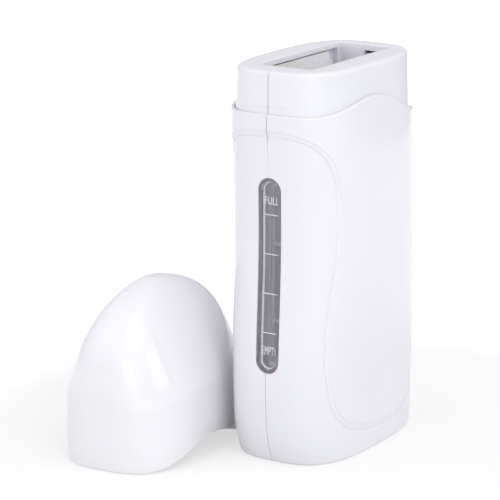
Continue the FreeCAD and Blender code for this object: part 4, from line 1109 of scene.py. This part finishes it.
# %% [markdown]
# The matt finish goes on the lower part of the wall and on the crest at the top end. Each face is found by
# how deep it lies below the casing and how far it lies inside the window's outline.

# %% Matt wall of the pane
MATT_OUTER, MATT_INNER = -RIM_WIDE - 0.1, -RIM_WIDE - 0.75


def slot_x(z, inset):
    """Where the window side stands on the slot's middle line, at one height or several."""
    return window_side_x(np.full(np.shape(z), WINDOW_Y), np.asarray(z), inset)


def is_matt(face):
    """Whether a face lies on the lower wall or on the crest at the top end."""
    x, y, z = (c / MM for c in face.center)
    depth = x - float(window_side_x(y, z, PANEL_DROP))
    grow = math.hypot(y - WINDOW_Y, z - min(max(z, SLOT_LOW), SLOT_HIGH)) - WINDOW_HALF
    low_wall = FACE_SINK - MATT_TALL < depth < FACE_SINK + 0.02 and MATT_INNER < grow < MATT_OUTER
    top_crest = depth < RIM_SINK + RIM_CREST and grow < -RIM_WIDE - 0.005 and z > SLOT_HIGH
    return low_wall or top_crest


pane.data.materials.append(matt_wall)
for face in pane.data.polygons:
    face.material_index = int(is_matt(face))
print("matt faces", sum(face.material_index for face in pane.data.polygons))


# %% [markdown]
# Four raised level lines repeat up the pane's face, so Geometry Nodes set them: the seed points lie on the
# face, and each gets one small rounded bar.

# %% Level lines
LINE_TOP, LINE_PITCH, LINE_COUNT, LINE_HALF, LINE_TALL, LINE_PROUD = 96.2, 15.0, 4, 3.3, 1.15, 0.2


def line_tree(inputs):
    """Sweep a flattened ring along a short line, and set the bar on every seed point."""
    tree, source, sink = new_tree("level_lines", inputs)
    half = Flow(tree, source.outputs["Half width"])
    run = tree.nodes.new("GeometryNodeCurvePrimitiveLine")
    for sign, end in ((-1.0, "Start"), (1.0, "End")):
        join_xyz(tree, run.inputs[end], Y=half * sign)
    ring = tree.nodes.new("GeometryNodeCurvePrimitiveCircle")
    ring.inputs["Resolution"].default_value = 16
    sweep = tree.nodes.new("GeometryNodeCurveToMesh")
    sweep.inputs["Fill Caps"].default_value = True
    tree.links.new(run.outputs["Curve"], sweep.inputs["Curve"])
    flat = tree.nodes.new("GeometryNodeTransform")
    flat.inputs["Scale"].default_value = (LINE_TALL / 2 * MM, LINE_PROUD * MM, 1.0)
    tree.links.new(ring.outputs["Curve"], flat.inputs["Geometry"])
    tree.links.new(flat.outputs["Geometry"], sweep.inputs["Profile Curve"])
    scatter, _, _, paint = chain(tree, "InstanceOnPoints", "RealizeInstances", "SetShadeSmooth",
                                 "SetMaterial", start=source, end=sink)
    tree.links.new(sweep.outputs["Mesh"], scatter.inputs["Instance"])
    tree.links.new(source.outputs["Finish"], paint.inputs["Material"])
    return tree


line_inputs = {"Half width": LINE_HALF * MM, "Finish": level_mark}
line_z = np.array([LINE_TOP - i * LINE_PITCH for i in range(LINE_COUNT)])
line_x = slot_x(line_z, PANEL_DROP + FACE_SINK) + 0.03
line_points = np.column_stack([line_x, np.full(LINE_COUNT, WINDOW_Y), line_z])
level_lines = grow_piece("level_lines", line_tree(line_inputs), line_inputs, line_points * MM)
tidy(level_lines.data)
shade(level_lines.data)
report(level_lines)


# %% [markdown]
# The words at the two ends of the scale are ordinary level marks. Each is a thin raised text that lies on
# the pane and faces outwards. It is squeezed to its width, because the letters on such a narrow pane are
# tall and slim.

# %% Level words
WORD_PROUD, WORD_THICK, LETTER_SIZE = 0.10, 0.12, 1.42


def level_word(text, z, tall, wide, thinner):
    """A word in letters of this height, squeezed to this width, with its strokes made thinner."""
    name = "word_" + text.lower()
    letters = bpy.data.curves.new(name, "FONT")
    letters.body = text
    letters.align_x, letters.align_y = "CENTER", "CENTER"
    letters.size, letters.extrude, letters.offset = tall * LETTER_SIZE * MM, WORD_THICK * MM, -thinner * MM
    letters.resolution_u = 3
    carrier = link_object("word", letters)
    mesh = evaluated_mesh(carrier)
    bpy.data.objects.remove(carrier)
    squeeze = wide * MM / (max(v.co.x for v in mesh.vertices) - min(v.co.x for v in mesh.vertices))
    x = float(slot_x(z, PANEL_DROP + FACE_SINK)) - WORD_PROUD
    turn = Matrix(((0, 0, -1, x * MM), (-1, 0, 0, WINDOW_Y * MM), (0, 1, 0, z * MM), (0, 0, 0, 1)))
    mesh.transform(turn @ Matrix.Diagonal((squeeze, 1.0, 1.0, 1.0)))
    mesh.name = name
    tidy(mesh)
    return clad(link_object(name, mesh), level_mark)


words = [level_word("FULL", 101.4, 3.0, 6.0, 0.02), level_word("EMPTY", 44.2, 3.3, 6.1, 0.035)]
for word in words:
    report(word)


# %% [markdown]
# ## Dress the solids that stay
# The plate, liner, lamp, inlet, screws and the parts behind the liner keep their CAD solids. Each gets the
# finish of the real material.

# %% Finishes of the CAD solids
node_finishes = {
    "well_liner": liner_plastic, "heating_plate": plate_finish, "indicator_lamp": lamp_plastic,
    "ptc_elements": ptc_ceramic, "electrode_live": brass_strip, "electrode_neutral": brass_strip,
    "insulation_films": amber_film, "heater_clamp": spring_steel, "clamp_screws": screw_steel,
    "thermal_fuse": fuse_metal, "fuse_sleeve": sleeve_finish, "push_terminals": tinned_brass,
    "wire_live": brown_wire, "wire_neutral": blue_wire, "wire_fuse_link": brown_wire,
    "lamp_holder": holder_plastic, "lamp_resistor": resistor_finish, "lamp_wires": red_wire,
    "inlet_housing": inlet_plastic, "inlet_pins": tinned_brass, "shell_screws": screw_steel,
    "front_shell": white_casing, "rear_shell": white_casing, "cap_shell": white_cap,
    "window_lens": pane_finish,
}
for node, finish in node_finishes.items():
    clad(frame["nodes"][node], finish)
print("dressed", len(node_finishes), "CAD solids")


# %% [markdown]
# ## Put every piece on its body
# The cap is its own body, because it lifts off. Everything else belongs to the heater. A piece that stands
# for a CAD solid hides that solid, which stays behind for collision.

# %% Ride and replace
for piece, body, node, slot in ((front, "heater", "front_shell", "casing"),
                                (rear, "heater", "rear_shell", "casing"),
                                (cap, "cap", "cap_shell", "cap"),
                                (pane, "heater", "window_lens", "clear_lens")):
    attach(piece, body)
    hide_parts(node)
for piece in [level_lines] + words:
    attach(piece, "heater")
print("pieces placed on the heater and the cap")


# %% [markdown]
# ## Floor and background
# The object stands on a white sweep. The floor is plain paper for the light that falls on it. Only for the
# camera, for rays through the pane and for near mirror images does it glow a little, more so away from the
# object, so that it reads as paper white while the soft shadow stays. Mirror rays see the glow only as far
# as the table's edge. Past it they see the duller paper, which gives the casing the darker tone that a real
# room would.

# %% Who sees the glow
def glow_mask(tree, mirror_share):
    """1 for rays from the camera and through clear plastic, and mirror_share for mirror rays."""
    path = new_node(tree, "LightPath")
    seen = Flow(tree, path.outputs["Is Camera Ray"]).at_least(Flow(tree, path.outputs["Is Transmission Ray"]))
    return seen.at_least(Flow(tree, path.outputs["Is Glossy Ray"]) * mirror_share)


def choose_surface(tree, mask, plain, glowing, end):
    """Show the plain shader where the mask is 0 and the glowing one where it is 1."""
    choose = new_node(tree, "MixShader")
    tree.links.new(mask.socket, choose.inputs["Fac"])
    tree.links.new(plain.outputs[0], choose.inputs[1])
    tree.links.new(glowing.outputs[0], choose.inputs[2])
    tree.links.new(choose.outputs[0], end.inputs["Surface"])


# %% [markdown]
# The paper's glow and its shaded part add up to white where no shadow falls.

# %% Floor
FLOOR_HALF, FLOOR_DOWN, PAPER, SHADED = 6.0, 0.00004, (0.80, 0.80, 0.80, 1.0), (0.38, 0.38, 0.38, 1.0)
GLOW_NEAR, GLOW_FAR, GLOW_FROM, GLOW_TO = 0.61, 1.0, 0.13, 0.24
TABLE_REACH, TABLE_SIDE = 0.57, (0.82, -0.57, 0.0)


def stage_floor():
    mesh = bpy.data.meshes.new("studio_floor")
    corners = ((-FLOOR_HALF, -FLOOR_HALF), (FLOOR_HALF, -FLOOR_HALF), (FLOOR_HALF, FLOOR_HALF),
               (-FLOOR_HALF, FLOOR_HALF))
    mesh.from_pydata([(x, y, -FLOOR_DOWN) for x, y in corners], [], [(0, 1, 2, 3)])
    finish, tree, paper = new_finish("studio_paper")
    paper.inputs["Base Color"].default_value = PAPER
    paper.inputs["Roughness"].default_value = 0.9
    paper.inputs["Specular IOR Level"].default_value = 0.0
    coords, far, toward_edge = (new_node(tree, kind) for kind in ("TexCoord", "VectorMath", "VectorMath"))
    far.operation, toward_edge.operation = "LENGTH", "DOT_PRODUCT"
    toward_edge.inputs[1].default_value = TABLE_SIDE
    for node in (far, toward_edge):
        tree.links.new(coords.outputs["Object"], node.inputs[0])
    glow, both = new_node(tree, "Emission"), new_node(tree, "AddShader")
    shaded = new_node(tree, "BsdfDiffuse", Color=SHADED)
    strength = spread(tree, far.outputs["Value"], GLOW_NEAR, GLOW_FAR, GLOW_FROM, GLOW_TO)
    tree.links.new(strength, glow.inputs["Strength"])
    tree.links.new(shaded.outputs[0], both.inputs[0])
    tree.links.new(glow.outputs[0], both.inputs[1])
    on_table = 1.0 - Flow(tree, toward_edge.outputs["Value"]).above(TABLE_REACH)
    choose_surface(tree, glow_mask(tree, on_table), paper, both, tree.nodes["Material Output"])
    floor = clad(link_object("studio_floor", mesh), finish)


stage_floor()
print("floor", 2 * FLOOR_HALF, "m wide")


# %% [markdown]
# The world gives a faint cool light. The camera sees it as plain white, and mirror images see a share of
# that.

# %% World
SKY, SKY_STRENGTH, MIRROR_SHARE = (0.93, 0.94, 1.0, 1.0), 0.50, 0.4


def stage_world():
    world = bpy.data.worlds.new("studio")
    bpy.context.scene.world = world
    world.use_nodes = True
    tree = world.node_tree
    soft = tree.nodes["Background"]
    soft.inputs["Color"].default_value, soft.inputs["Strength"].default_value = SKY, SKY_STRENGTH
    white = new_node(tree, "Background", Color=(1.0, 1.0, 1.0, 1.0), Strength=1.0)
    choose_surface(tree, glow_mask(tree, MIRROR_SHARE), soft, white, tree.nodes["World Output"])


stage_world()
print("world", bpy.context.scene.world.name)


# %% [markdown]
# ## Light
# A round umbrella high in front and two strips low on either side make the bright shapes that the cap
# mirrors. The fills only level out the light, so mirror rays don't see them. Each lamp is set by its
# bearing and its height angle, at one distance, and its power grows with its area, so that its brightness
# stays one number.

# %% Lamps
LIGHT_CENTRE, LAMP_AWAY = Vector((-0.03, 0.01, 0.07)), 1.3


def soft_lamp(name, bearing, rise, wide, tall, glow, shape="RECTANGLE", mirrored=True):
    """An area lamp that faces the object, sized in metres and placed by angles in degrees."""
    lamp = bpy.data.lights.new(name, "AREA")
    lamp.shape, lamp.size, lamp.size_y = shape, wide, tall
    lamp.energy = glow * math.pi * wide * tall * (math.pi / 4 if shape == "ELLIPSE" else 1.0)
    holder = link_object(name, lamp)
    holder.visible_camera, holder.visible_glossy = False, mirrored
    look_along(holder, LIGHT_CENTRE + LAMP_AWAY * heading(bearing, rise), -heading(bearing, rise))


soft_lamp("umbrella", -88, 54, 1.30, 1.30, 1.04, shape="ELLIPSE")
soft_lamp("left_strip", -134, 14, 0.80, 0.70, 1.45)
soft_lamp("right_strip", -66, 15, 0.60, 0.50, 1.40)
soft_lamp("left_fill", 170, 25, 1.1, 0.9, 1.05, mirrored=False)
soft_lamp("near_fill", -122, 36, 1.0, 1.0, 0.70, mirrored=False)
soft_lamp("rear_fill", 110, 35, 1.2, 0.9, 0.85, mirrored=False)
soft_lamp("top_fill", 60, 80, 0.9, 0.9, 0.65, mirrored=False)
print("lamps", [lamp.name for lamp in bpy.data.lights])


# %% [markdown] ## View The picture is shown with the plain Standard view transform.

# %% View transform
bpy.context.scene.view_settings.view_transform = "Standard"
